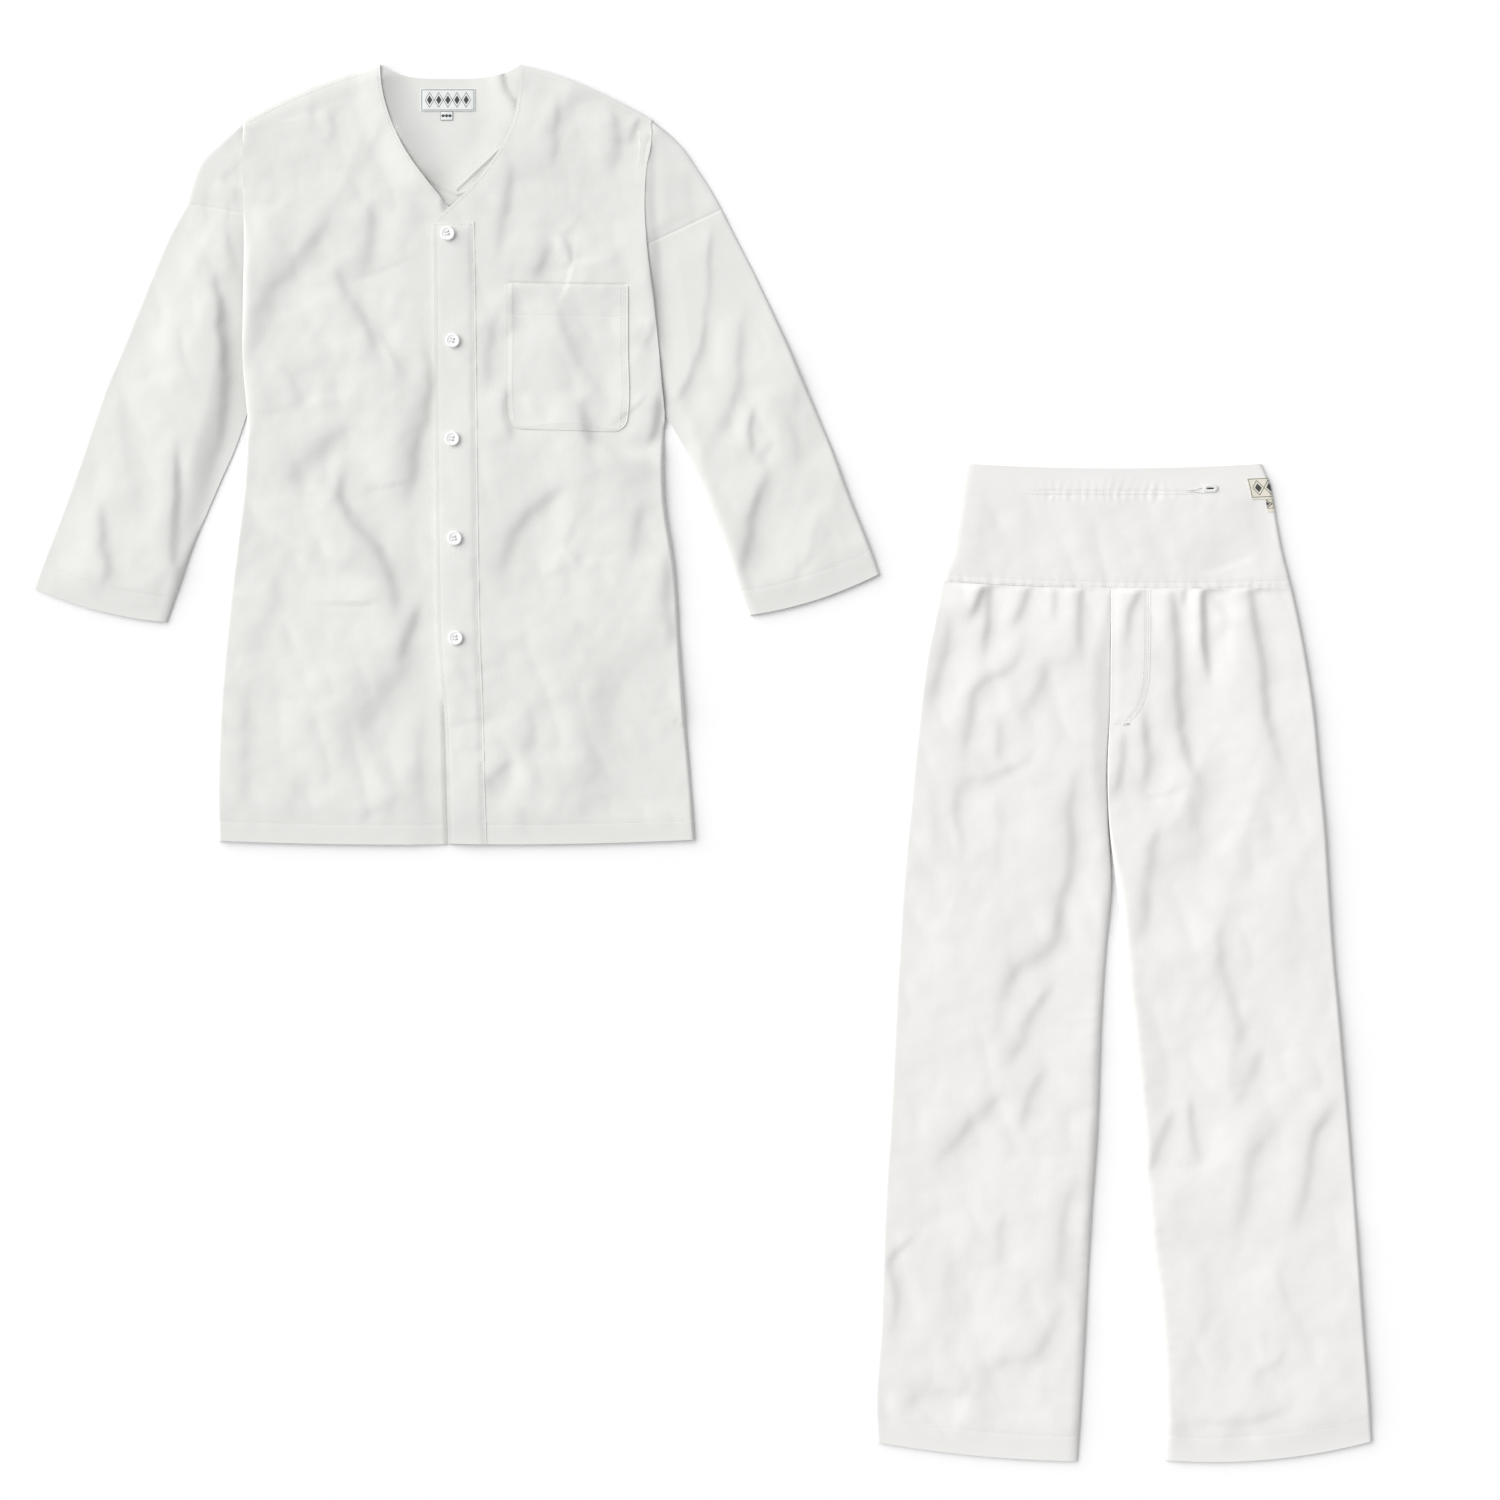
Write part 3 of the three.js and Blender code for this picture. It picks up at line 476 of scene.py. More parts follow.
BACK_ROWS = [
    Row((217.6, 840.7), (694.6, 839.7), bow=4.6),
    Row((216.4, 784), (691, 790)),
    Row((219.4, 706), (684.5, 715)),
    Row((227, 618), (679.5, 645)),
    Row((235.4, 547), (675, 572)),
    Row((243, 486), (664.4, 500)),
    Row((247.7, 414.6), (663.6, 414.4), corner=True),
    Row((251, 396), (652.6, 377)),
    Row((251.2, 300), (644.2, 304)),
    Row((251.4, 213.8), (637.6, 247.4), corner=True),
    Row((186.5, 203), (721.2, 208.2), corner=True),
    Row((191.5, 180), (709, 187)),
    Row((200.5, 160), (695.6, 166.4)),
    Row((220, 141), (682.6, 147.4)),
    Row((243, 120), (652, 119.4)),
    Row((280, 101), (610, 96.6)),
    Row((340, 74.6), (560, 77)),
    Row((379.8, 63.7), (520.4, 63.7)),
]
# The creases that show inside the V come first, then those of the underside.
BACK_FOLDS = [
    Fold(4, 4.4, [(500, 52), (504, 72), (508, 86), (514, 98), (522, 114), (528, 134)]),
    Fold(8, 0.8, [(470, 106), (476, 140), (470, 190)]),
    Fold(5, 0.6, [(490, 104), (489, 128), (499, 150)]),
    Fold(10, 0.5, [(431, 104), (436, 140), (446, 180)]),
    Fold(16, 0.5, [(300, 250), (340, 330), (410, 380)]),
    Fold(14, 0.5, [(560, 250), (520, 340), (500, 420)]),
    Fold(18, 0.6, [(280, 470), (350, 540), (460, 570)]),
    Fold(12, 0.5, [(600, 480), (560, 560), (570, 640)]),
    Fold(20, 0.6, [(330, 640), (310, 720), (330, 820)]),
    Fold(15, 0.5, [(470, 640), (450, 720), (480, 810)]),
    Fold(12, 0.5, [(620, 690), (600, 760), (560, 820)]),
]
NECK_SCOOP = 14.2
NECK_MIDDLE = (470, 120)
NECK_EDGE_RIGHT = np.array([
    (378.9, 63), (381.2, 83), (384.7, 100), (391, 120), (400.2, 140), (411.7, 160), (443, 199), (449, 207),
])
NECK_EDGE_LEFT = np.array([
    (520.4, 63), (518.3, 92), (513.5, 118), (502.5, 144), (489.7, 163.3), (470.2, 187.4), (449.5, 207.2),
])


def in_neck(y):
    return smooth((y - 60) / 18) * smooth((222 - y) / 22)


def back_face(x, y):
    """Height of the back's upper side, which rises inside the neck to where the two fronts lie on it."""
    lift = 0.5 * np.exp(-(((x - NECK_MIDDLE[0]) / 50) ** 2 + ((y - NECK_MIDDLE[1]) / 60) ** 2))
    past_right_edge = x - np.interp(y, *NECK_EDGE_RIGHT.T[::-1])
    to_left_edge = np.clip(np.interp(y, *NECK_EDGE_LEFT.T[::-1]) - x, 0, None)
    reach = np.interp(y, (70, 130, 190), (31, 40, 28))
    steepness = np.interp(y, (70, 110, 150, 190), (0.52, 0.44, 0.42, 0.48))
    rise = steepness * reach / 2 * (1 - np.clip(past_right_edge / reach, 0, 1)) ** 2
    rise *= smooth((past_right_edge + 9) / 7) * smooth((214 - y) / 12) * (1 - 0.4 * smooth((y - 166) / 18))
    rise += 1.8 * (1 - smooth(to_left_edge / 34)) * smooth((540 - x) / 16) * (x > 440)
    return CLOTH + lift + rise * in_neck(y) + under_face(x, y, BACK_FOLDS)


back = lay_panel(BACK_ROWS, 5, 480)
share = back.first / (back.first + back.second)
scoop = NECK_SCOOP * smooth((back.place - 15) / 2) * (1 - np.abs(2 * share - 1) ** 3.7)
back_y = back.y + scoop
back_points = on_table(back.x, back_y, back_face(back.x, back_y))
shirt_back = shell("back", back_points, (back.x, back_y), cloth_white)
declare(shirt_back, back_points, "shirt_back")


# The fronts of the shirt
# Two panels of the same cotton. The right one closes underneath, so it lies a little lower where the left
# one laps it. Both turn down in a soft fold at the side, are hemmed, and meet the back at the shoulder.

SHIRT_FOLDS = [
    Fold(14, 3.5, [(333, 185), (322, 225), (300, 258), (272, 290), (258, 330), (254, 375)]),
    Fold(9, 2.5, [(372, 196), (368, 240), (361, 288)]),
    Fold(9, 3, [(336, 258), (342, 285), (358, 310), (372, 340), (380, 366)]),
    Fold(7, 1.6, [(368, 315), (392, 355), (405, 390)]),
    Fold(9, 4, [(424, 330), (429, 380), (424, 420), (412, 460), (408, 495), (402, 524)]),
    Fold(7, 1.2, [(286, 366), (296, 385), (304, 410)]),
    Fold(14, 3.4, [(364, 416), (325, 445), (300, 470), (286, 505)]),
    Fold(9, 4.2, [(346, 445), (340, 490), (352, 520), (375, 550), (393, 580), (398, 605), (386, 636)]),
    Fold(8, 2, [(378, 580), (335, 566), (300, 552), (262, 534), (236, 522)]),
    Fold(6, 2.6, [(423, 604), (412, 625), (404, 640), (398, 668)]),
    Fold(16, 3, [(424, 636), (405, 665), (385, 690), (365, 715), (343, 748)]),
    Fold(10, 1.2, [(262, 560), (275, 600), (245, 640), (232, 650)]),
    Fold(9, 1.1, [(250, 670), (248, 740), (250, 820)]),
    Fold(10, 2, [(406, 796), (375, 812), (352, 832)]),
    Fold(10, 1, [(302, 770), (290, 810), (284, 838)]),
    Fold(8, 1.4, [(428, 690), (418, 760), (424, 836)]),
    Fold(8, 2, [(608, 96), (618, 135), (612, 182)]),
    Fold(5, 1.6, [(642, 112), (634, 130), (630, 146)]),
    Fold(7, 1.8, [(504, 150), (510, 175), (507, 210), (498, 245), (484, 272)]),
    Fold(6, 1.5, [(556, 92), (557, 130), (552, 180)]),
    Fold(7, 2.8, [(555, 240), (541, 262), (529, 288)]),
    Fold(5, 2, [(556, 234), (568, 248), (573, 268)]),
    Fold(14, 1.6, [(548, 232), (580, 226), (612, 250), (630, 290)]),
    Fold(6, 1.6, [(507, 286), (510, 320), (506, 348)]),
    Fold(10, 2.2, [(550, 286), (566, 330), (583, 370), (605, 392), (628, 404)]),
    Fold(8, 2.2, [(500, 300), (490, 340), (486, 375), (482, 402)]),
    Fold(6, 2, [(502, 378), (505, 410), (516, 446)]),
    Fold(8, 4, [(583, 388), (585, 430), (605, 447), (640, 462), (664, 474)]),
    Fold(6, 3.4, [(663, 388), (655, 425), (646, 454)]),
    Fold(6, 1.4, [(654, 318), (650, 335), (640, 352)]),
    Fold(10, 3, [(576, 480), (545, 500), (522, 520), (508, 550), (500, 575), (486, 594)]),
    Fold(8, 1.5, [(647, 490), (638, 530), (628, 566)]),
    Fold(8, 2, [(672, 545), (667, 600), (672, 656)]),
    Fold(26, 4, [(645, 640), (605, 690), (598, 740), (590, 800), (578, 850)]),
    Fold(10, 2, [(524, 696), (530, 730), (525, 764)]),
    Fold(7, 2.5, [(520, 756), (498, 775), (486, 794)]),
    Fold(12, 1, [(580, 612), (568, 640), (562, 664)]),
    Fold(7, 1.2, [(560, 540), (575, 552), (582, 570)]),
    Fold(4, 1, [(452, 650), (462, 675), (472, 694)]),
    Fold(4, 1.1, [(496, 714), (470, 717), (444, 723)]),
    Fold(4, 0.9, [(486, 746), (470, 749), (452, 749)]),
    Fold(6, 1, [(326, 108), (330, 128), (326, 150)]),
    Fold(7, 1, [(382, 112), (376, 136), (366, 162)]),
    Fold(7, 0.9, [(305, 108), (310, 122), (303, 138)]),
]
SHIRT_LOFT = 7
LAP_MIDDLE = 456
LAP_DROP = 2.3


def shirt_face(x, y):
    """Height of the fronts' upper side, before their edges turn down. It stands higher where they lap."""
    lap = np.exp(-(((x - LAP_MIDDLE) / 42) ** 2))
    creases = 1.35 * folded(SHIRT_FOLDS, *wandering(x, y, 11)) + 1.15 * handled(x, y, 21)
    return settle(SHIRT_LOFT + 1.4 * lap + creases * (1 - 0.35 * lap), mix(3.2, 6.6, lap))


def front_height(x, y, to_side, to_hem, to_shoulder, foot, drop=0):
    """Height of a front, from how far each place is from the panel's edges."""
    SIDE_RIDGE, HEM_FOOT, HEM_SLOPE, SHOULDER_FOOT = 0.3, 5.2, 40, 2.8
    ridge = SIDE_RIDGE * smooth((foot - 2.3) / 2.3) * np.exp(-to_side / 20)
    face = sink(HEM_FOOT, HEM_SLOPE, to_hem, shirt_face(x, y) + ridge) - drop
    edge = foot - smooth((4.6 - foot) / 2.3)
    side_reach = mix(3, 9, smooth((foot - 4.6) / 1.5))
    return np.minimum(roll(edge, side_reach, to_side, face), roll(SHOULDER_FOOT, 16, to_shoulder, face))


FRONT_RIGHT_ROWS = [
    Row((217.6, 840.7), (484, 844), bow=2),
    Row((216.4, 784), (482, 788)),
    Row((219.4, 706), (480, 712)),
    Row((227, 618), (479, 624)),
    Row((235.4, 547), (478, 552)),
    Row((243, 486), (477, 492)),
    Row((247.4, 414), (476, 424), edge=6.2, corner=True),
    Row((243, 366), (476, 380), edge=6.6),
    Row((243, 300), (475, 326), edge=6.8),
    Row((244, 240), (474, 272), edge=6.8),
    Row((243.4, 203), (473, 230), edge=6.8, corner=True),
    Row((243, 184), (449.5, 207.2), edge=6.8),
    Row((243, 170), (428.9, 182.8), edge=6.8),
    Row((243, 157), (411.7, 159.9), edge=6.8),
    Row((243, 145), (400.2, 140.4), edge=6.8),
    Row((243, 134), (391, 119.7), edge=6),
    Row((243, 125), (382.6, 90), edge=4),
    Row((243, 118.8), (379.8, 63.7), bow=-6, edge=2.8),
]
FRONT_LEFT_ROWS = [
    Row((448, 844), (694.6, 839.7), bow=2),
    Row((447, 786), (691, 790)),
    Row((444.5, 715), (684.5, 715)),
    Row((438.5, 645), (679.5, 645)),
    Row((437, 570), (675, 572)),
    Row((436, 500), (664.6, 500)),
    Row((435.5, 430), (664, 430)),
    Row((435.3, 414), (664.7, 414), edge=6.2, corner=True),
    Row((435, 357), (659.5, 357), edge=6.6),
    Row((434.5, 285), (652, 285), edge=6.8),
    Row((434, 250), (647.5, 250), edge=6.8),
    Row((433.5, 222), (645, 222), edge=6.8, corner=True),
    Row((449.5, 207.2), (644.5, 203), edge=6.8),
    Row((470.2, 187.4), (645.2, 183), edge=6.8),
    Row((489.7, 163.3), (647, 164), edge=6.8),
    Row((502.5, 144), (650.5, 147), edge=6.8),
    Row((513.5, 118), (651.5, 135), edge=6),
    Row((518.3, 92), (652, 127), edge=4),
    Row((520.4, 63.7), (652, 119.4), bow=-6, edge=2.8),
]
HEM_DEPTH = 20
PITCH = 2.7


def underlap(x, y):
    """How far the right front lies below, where the left one laps it. Low down it falls away steeply."""
    lap_edge = np.interp(y, (222, 645, 715, 840), (433.5, 438.5, 444.5, 448))
    crevice = 1.9 * smooth((x - lap_edge + 3.5) / 3.5) * smooth((y - 690) / 26)
    return LAP_DROP * smooth((x - lap_edge + 46) / 48) * smooth((y - 178) / 24) + crevice


def neck_lift(x, y):
    """How far the right front stands up along the neck's edge, where the back comes up under it."""
    inside = np.interp(y, *NECK_EDGE_RIGHT.T[::-1]) - x
    lift = np.interp(y, (63, 90, 130, 170), (2.2, 2.8, 3.3, 3.7))
    return lift * (1 - smooth(inside / 34)) * in_neck(y) * smooth((448 - x) / 8)


def mouth_furrow(x, y):
    """The furrow that the pocket's open mouth leaves in the front."""
    across_pocket = smooth((x - 506) / 8) * smooth((631 - x) / 6)
    mouth_at = 283.4 + (x - 504.6) * 0.0178
    return 0.7 * np.exp(-(((y - mouth_at + 0.5) / 1.4) ** 2)) * across_pocket


def seam_dent(distance, depth=0.22, width=1.1):
    """The shallow groove that a row of stitches pulls into cloth."""
    return -depth * np.exp(-((distance / width) ** 2))


right_places = places_down(FRONT_RIGHT_ROWS, PITCH, from_first=HEM_DEPTH)
right = lay(FRONT_RIGHT_ROWS, right_places, across(PITCH, 262, second_edge=False))
right_drop = underlap(right.x, right.y) - neck_lift(right.x, right.y)
right_edge = row_value(FRONT_RIGHT_ROWS, "edge", right.place)
right_z = front_height(right.x, right.y, right.first, right.start, right.last, right_edge, right_drop)
right_points = on_table(right.x, right.y, right_z + seam_dent(right.start - HEM_DEPTH))
right_thickness = mix(0.3, CLOTH, smooth(np.minimum(right.first, right.second) / 6))
front_right = shell("front_right", right_points, (right.x, right.y), cloth_white, right_thickness)

left_places = places_down(FRONT_LEFT_ROWS, PITCH, from_first=HEM_DEPTH, fine_at=9)
left = lay(FRONT_LEFT_ROWS, left_places, across(PITCH, 247, first_edge=False))
left_edge = row_value(FRONT_LEFT_ROWS, "edge", left.place)
left_drop = mouth_furrow(left.x, left.y)
left_z = front_height(left.x, left.y, left.second, left.start, left.last, left_edge, left_drop)
left_points = on_table(left.x, left.y, left_z + seam_dent(left.start - HEM_DEPTH))
left_thickness = mix(0.3, CLOTH, smooth(left.second / 6))
front_left = shell("front_left", left_points, (left.x, left.y), cloth_white, left_thickness)

CAP_RIGHT_ROWS = [
    Row((186.4, 203.2), (250.8, 213.9)),
    Row((191.5, 180), (251, 190)),
    Row((200.5, 160), (251, 166)),
    Row((220, 141), (253, 146)),
    Row((243.6, 120.2), (262, 114)),
]
CAP_LEFT_ROWS = [
    Row((721.5, 208.8), (638.2, 247.9)),
    Row((709, 187), (637, 222)),
    Row((695.6, 166.4), (637, 192)),
    Row((682.6, 147.4), (638, 165)),
    Row((668, 133.4), (640, 144)),
    Row((651.6, 120.6), (633, 115)),
]
ARMHOLE_LOFT = 5.6
CAP_FOLDS = [
    Fold(4, 1.3, [(218, 176), (228, 184), (246, 189)]),
    Fold(8, 0.8, [(690, 160), (688, 190), (700, 215)]),
]
# These run on from the shoulder into the sleeve, across the armhole seam.
ARMHOLE_FOLDS = [
    Fold(16, 4, [
        (664, 96), (663, 150), (661, 190), (660, 240), (657, 280), (657, 310), (660, 350), (669, 396),
    ]),
    Fold(4, 0.8, [(206, 182), (204, 206), (208, 232)]),
    Fold(3, 0.6, [(226, 196), (228, 210), (225, 226)]),
    Fold(4, 0.8, [(694, 204), (692, 222), (698, 246)]),
]
UNDER_FRONT = 5.9


def falls_away(laid):
    """How far the left sleeve drops where it comes out from under the front, most of all near the armpit."""
    depth = np.interp(laid.y, (120, 200, 300, 340, 370, 400), (1.4, 3.2, 4.2, 3, 1.2, 0))
    past = laid.second - np.interp(laid.y, (150, 250, 300), (1, 7, 0))
    return depth * (laid.x > SHIRT_MIDDLE) * (smooth(past / 18) - 0.25 * smooth((past - 30) / 70))


def armhole_height(laid, outer_drop):
    """Height of the armhole seam, which the folds cross, for the cap and the sleeve alike."""
    crossing = settle(ARMHOLE_LOFT + folded(ARMHOLE_FOLDS, laid.x, laid.y), 1.8)
    crossing = held_down(crossing, UNDER_FRONT - falls_away(laid))
    return crossing - outer_drop * (1 - smooth(laid.first / 56))


def shoulder_cap(name, rows, outer_drop):
    """The dropped shoulder, which joins its front along the top and passes under the side fold below."""
    laid = lay_panel(rows, PITCH, 84)
    top = smooth(laid.last / 40)
    creases = folded(CAP_FOLDS, laid.x, laid.y) + 0.7 * handled(laid.x, laid.y, 31)
    face = armhole_height(laid, outer_drop) + 0.3 + (1 - top) * 1.2 + creases
    joined_face = sink(armhole_height(laid, outer_drop), 14, laid.start, face)
    under_front = np.interp(laid.y, (117, 127, 136, 148), (2.6, 3.8, 5, 5.6))
    held_face = held_down(joined_face, under_front + 0.2 * np.clip(laid.second - 14, 0, 20))
    tucked = sink(under_front - 0.3, 12, laid.second, held_face)
    height = np.minimum(roll(1.7, 6, laid.first, tucked), roll(2.8, 12, laid.last, face + 2))
    points = on_table(laid.x, laid.y, height + seam_dent(laid.start, 0.35, 1.4))
    return shell(name, points, (laid.x, laid.y), cloth_white), points


cap_right, cap_right_points = shoulder_cap("shoulder_right", CAP_RIGHT_ROWS, 2.2)
cap_left, cap_left_points = shoulder_cap("shoulder_left", CAP_LEFT_ROWS, 0.6)
declare(front_right, right_points, "shirt_front_right", rests_on=["back"])
declare(cap_right, cap_right_points, rests_on=["back"])
declare(front_left, left_points, "shirt_front_left", rests_on=["back"])
declare(cap_left, cap_left_points, rests_on=["back"])


# The placket and the chest pocket
# A band down the left front's edge that carries the buttons, and a patch pocket with round lower corners and
# a deep hem at its mouth. Both are cut from the same cotton and stitched down on the left front.

PLACKET_ROWS = [
    Row((448, 843.6), (486.6, 844.4), bow=0.2),
    Row((447, 786), (485, 786)),
    Row((444.5, 715), (483.4, 715)),
    Row((438.5, 645), (480.6, 645)),
    Row((437, 570), (479, 570)),
    Row((436, 500), (478, 500)),
    Row((435, 357), (476.4, 357)),
    Row((434, 250), (475, 250)),
    Row((433.5, 222), (474.4, 222)),
]
LEFT_SIDE = np.array([row.second for row in reversed(FRONT_LEFT_ROWS)])
STITCH_IN = 2.6
SHIRT_HEM_AT = 844


def on_front(x, y):
    """Height of the left front's face, for what is sewn on it."""
    FAR_FROM_SHOULDER = 99.0
    to_side = np.interp(y, LEFT_SIDE[:, 1], LEFT_SIDE[:, 0]) - x
    foot = np.interp(y, (414, 486), (5.6, 2.3))
    return front_height(x, y, to_side, SHIRT_HEM_AT - y, np.full(x.shape, FAR_FROM_SHOULDER), foot)


placket = lay_panel(PLACKET_ROWS, PITCH, 40)
placket_dents = seam_dent(placket.first - STITCH_IN) + seam_dent(placket.second - STITCH_IN, 0.26, 1.5)
# Its inner edge and its top are pressed thin where they are stitched down.
placket_thickness = mix(0.2, CLOTH, smooth(np.minimum(placket.second, placket.last) / 9))
ripple = 0.22 * unevenness(placket.x, placket.y, 9, 51) * np.exp(-((placket.second - STITCH_IN) / 6) ** 2)
placket_z = on_front(placket.x, placket.y) + 0.14 + placket_thickness + placket_dents + ripple
placket_points = on_table(placket.x, placket.y, placket_z)
placket_band = shell("placket_band", placket_points, (placket.x, placket.y), cloth_white, placket_thickness)
declare(placket_band, placket_points, "placket", rests_on=["front_left"])

POCKET = {"top": 284, "bottom": 430, "left": 504.6, "right": 628, "corner": 15, "mouth": 30}


def pocket_rows():
    """Rows from the mouth down, whose ends draw in round the lower corners."""
    top, bottom, corner = POCKET["top"], POCKET["bottom"], POCKET["corner"]
    turn = [math.radians(angle) for angle in (0, 15, 30, 45, 60, 75, 88)]
    levels = [(top, 0), (top + 60, 0)]
    levels += [(bottom - corner + corner * math.sin(angle), corner * (1 - math.cos(angle))) for angle in turn]
    lean = 0.012
    return [
        Row((POCKET["left"] + draw + lean * (y - top), y - 0.6), (POCKET["right"] - draw, y + 1.6))
        for y, draw in levels
    ]


POCKET_ROWS = pocket_rows()
pocket = lay_panel(POCKET_ROWS, PITCH, 122)
rim = np.minimum(np.minimum(pocket.first, pocket.second), pocket.last)
pocket_dents = seam_dent(rim - STITCH_IN) + seam_dent(pocket.start - POCKET["mouth"], 0.18)
slack = 0.7 * np.exp(-((pocket.start / 22) ** 2)) * smooth(rim / 30) - 0.5 * np.exp(-pocket.start / 2.5)
# Its left side is pressed flatter than its right side and its round corners.
pressed = np.minimum(smooth(pocket.first / 8), mix(0.55, 1, smooth(pocket.last / 8)))
pocket_thickness = mix(0.22, CLOTH, pressed)
pocket_z = on_front(pocket.x, pocket.y) + 0.14 + pocket_thickness + pocket_dents + slack
pocket_points = on_table(pocket.x, pocket.y, pocket_z)
chest_pocket = shell("chest_pocket", pocket_points, (pocket.x, pocket.y), cloth_white, pocket_thickness)
declare(chest_pocket, pocket_points, "pocket", rests_on=["front_left"])


# The sleeves
# Each is one cloth folded at its outer edge, seamed under the arm and hemmed at the cuff. Down to the
# underarm the inner edge passes under the side fold of the front.

SLEEVE_RIGHT_ROWS = [
    Row((186.4, 203.2), (250.8, 213.9), reach=26, foot=4.9),
    Row((168, 237), (250, 262), reach=26, foot=4.6),
    Row((151, 276), (250, 302), reach=30, foot=3.8),
    Row((134, 318), (250, 344), reach=36, foot=2.4),
    Row((118, 357), (249.6, 382), reach=40, foot=1.4),
    Row((103, 392), (246.8, 412.6), reach=42, foot=1.2, corner=True),
    Row((92.6, 422), (234, 449), reach=42, foot=1.4),
    Row((79.6, 460), (220, 480.6), reach=36),
    Row((64, 504), (205.6, 514), reach=24),
    Row((50, 541), (191, 549)),
    Row((40, 567), (178.6, 585)),
    Row((32.5, 587.6), (166, 622), bow=6),
]
SLEEVE_LEFT_ROWS = [
    Row((721.5, 208.8), (638.2, 247.9), reach=30, foot=4.8),
    Row((737, 240), (641, 275), reach=30, foot=4.8),
    Row((752, 269), (644.6, 304), reach=30, foot=4.6),
    Row((770, 306), (650, 342), reach=26, foot=4.2),
    Row((787, 342), (653, 377), reach=24, foot=3),
    Row((803, 379.6), (664.2, 413.4), reach=24, foot=1.7, corner=True),
    Row((818, 415), (681.7, 443.3), reach=20),
    Row((833.3, 451.7), (696, 474)),
    Row((850, 496.7), (710, 512)),
    Row((866.7, 538.3), (727, 556)),
    Row((874, 557), (738.6, 588)),
    Row((879.6, 573.6), (749.6, 615), bow=6),
]
SLEEVE_FOLDS = [
    Fold(6, 1.4, [(222, 200), (232, 240), (243, 280)]),
    Fold(8, 7.4, [(212, 244), (216, 290), (221, 330), (226, 380), (222, 430), (209, 490), (196, 540)]),
    Fold(7, 2.6, [(234, 320), (237, 356), (237, 396)]),
    Fold(8, 1.6, [(655, 230), (653, 270), (653, 300), (656, 335), (662, 370)]),
    Fold(6, 4.4, [(177, 426), (177, 480), (174, 520), (173, 550), (179, 590)]),
    Fold(9, 1.8, [(118, 380), (122, 430), (131, 470), (139, 532)]),
    Fold(7, 2.5, [(97, 490), (104, 535), (110, 565), (96, 590), (99, 610)]),
    Fold(5, 1.2, [(176, 320), (185, 360), (196, 385), (199, 408)]),
    Fold(10, 1.3, [(154, 570), (155, 590), (154, 616)]),
    Fold(9, 5, [(712, 190), (708, 250), (704, 300), (696, 335), (688, 365)]),
    Fold(9, 6.5, [(704, 310), (694, 345), (687, 372), (674, 396), (654, 412)]),
    Fold(8, 3, [(744, 290), (742, 340), (735, 380), (728, 414), (716, 440), (704, 464)]),
    Fold(4, 2.2, [(752, 404), (748, 434), (750, 464)]),
    Fold(6, 1.6, [(778, 436), (764, 450), (752, 470)]),
    Fold(9, 4.6, [(772, 458), (758, 490), (748, 520), (744, 555), (741, 590)]),
    Fold(6, 1.1, [(824, 510), (812, 550), (797, 578)]),
    Fold(5, 0.8, [(800, 550), (797, 580), (794, 604)]),
    Fold(7, 1, [(800, 370), (797, 420), (796, 480)]),
]
SLEEVE_LOFT = 6.2
CUFF_HEM = 26


def tube(laid_under, laid_over, face, foot, reach, dents=0, from_hem=None, hem_foot=4.2, lift=0):
    """The outer face of one cloth that lies on the table, turns up at its first end and comes back over."""
    TURN, FOLD_EDGE, HEM_SLOPE = 3, 1.7, 40
    turned = FOLD_EDGE * (1 - quarter_round(laid_under.first / TURN))
    low = np.maximum(turned, under_face(laid_under.x, laid_under.y) + lift)
    top = sink(hem_foot, HEM_SLOPE, laid_over.last if from_hem is None else from_hem, face)
    slope, turn = sink(foot, reach, laid_over.second, top), roll(foot, reach, laid_over.second, top)
    seam = mix(turn, slope, smooth((reach - 12) / 12))
    high = roll(FOLD_EDGE, TURN, laid_over.first, seam) + dents
    x = np.hstack([laid_under.x, laid_over.x])
    y = np.hstack([laid_under.y, laid_over.y])
    round_the_fold = np.hstack([-laid_under.first, laid_over.first])
    down = np.hstack([laid_under.start, laid_over.start])
    return on_table(x, y, np.hstack([low, high])), (round_the_fold, down)


def beneath(pitch, widest):
    """mm from a row's first end, for its width, from the seam back to where the cloth turns up."""
    TURN = np.array([6, 4.2, 3, 2.2, 1.4, 0.8, 0.35])
    count = round(widest / pitch)

    def distances(width):
        return np.concatenate([np.linspace(width, 9, count), TURN])

    return distances


UNDER_PITCH = 7


def sleeve(name, node, rows, outer_drop):
    places = places_down(rows, PITCH, from_last=CUFF_HEM)
    under, over = lay(rows, places, beneath(UNDER_PITCH, 150)), lay(rows, places, across(PITCH, 150))
    creases = folded(SLEEVE_FOLDS, *wandering(over.x, over.y, 41)) + handled(over.x, over.y, 43)
    creases += folded(ARMHOLE_FOLDS, over.x, over.y)
    dents = seam_dent(over.last - CUFF_HEM) + seam_dent(over.start, 0.35, 1.4)
    crown = 1.7 * outer_drop * (smooth(over.first / 66) - 0.75)
    lofted = settle(SLEEVE_LOFT + creases + crown, 2.2)
    on_right = over.x < SHIRT_MIDDLE
    open_side = np.where(on_right, 0.22, 0.06) * np.clip(over.second - np.where(on_right, 4, 22), 0, 18)
    under_front = mix(UNDER_FRONT - falls_away(over) + open_side, 9.5, smooth((over.start - 150) / 60))
    face = sink(armhole_height(over, outer_drop), 34, over.start, held_down(lofted, under_front))
    foot, reach = row_value(rows, "foot", over.place), row_value(rows, "reach", over.place)
    points, cut = tube(under, over, face, foot, reach, dents)
    declare(shell(name, points, cut, cloth_white), points, node)
    return over, points[:, -over.x.shape[1]:]


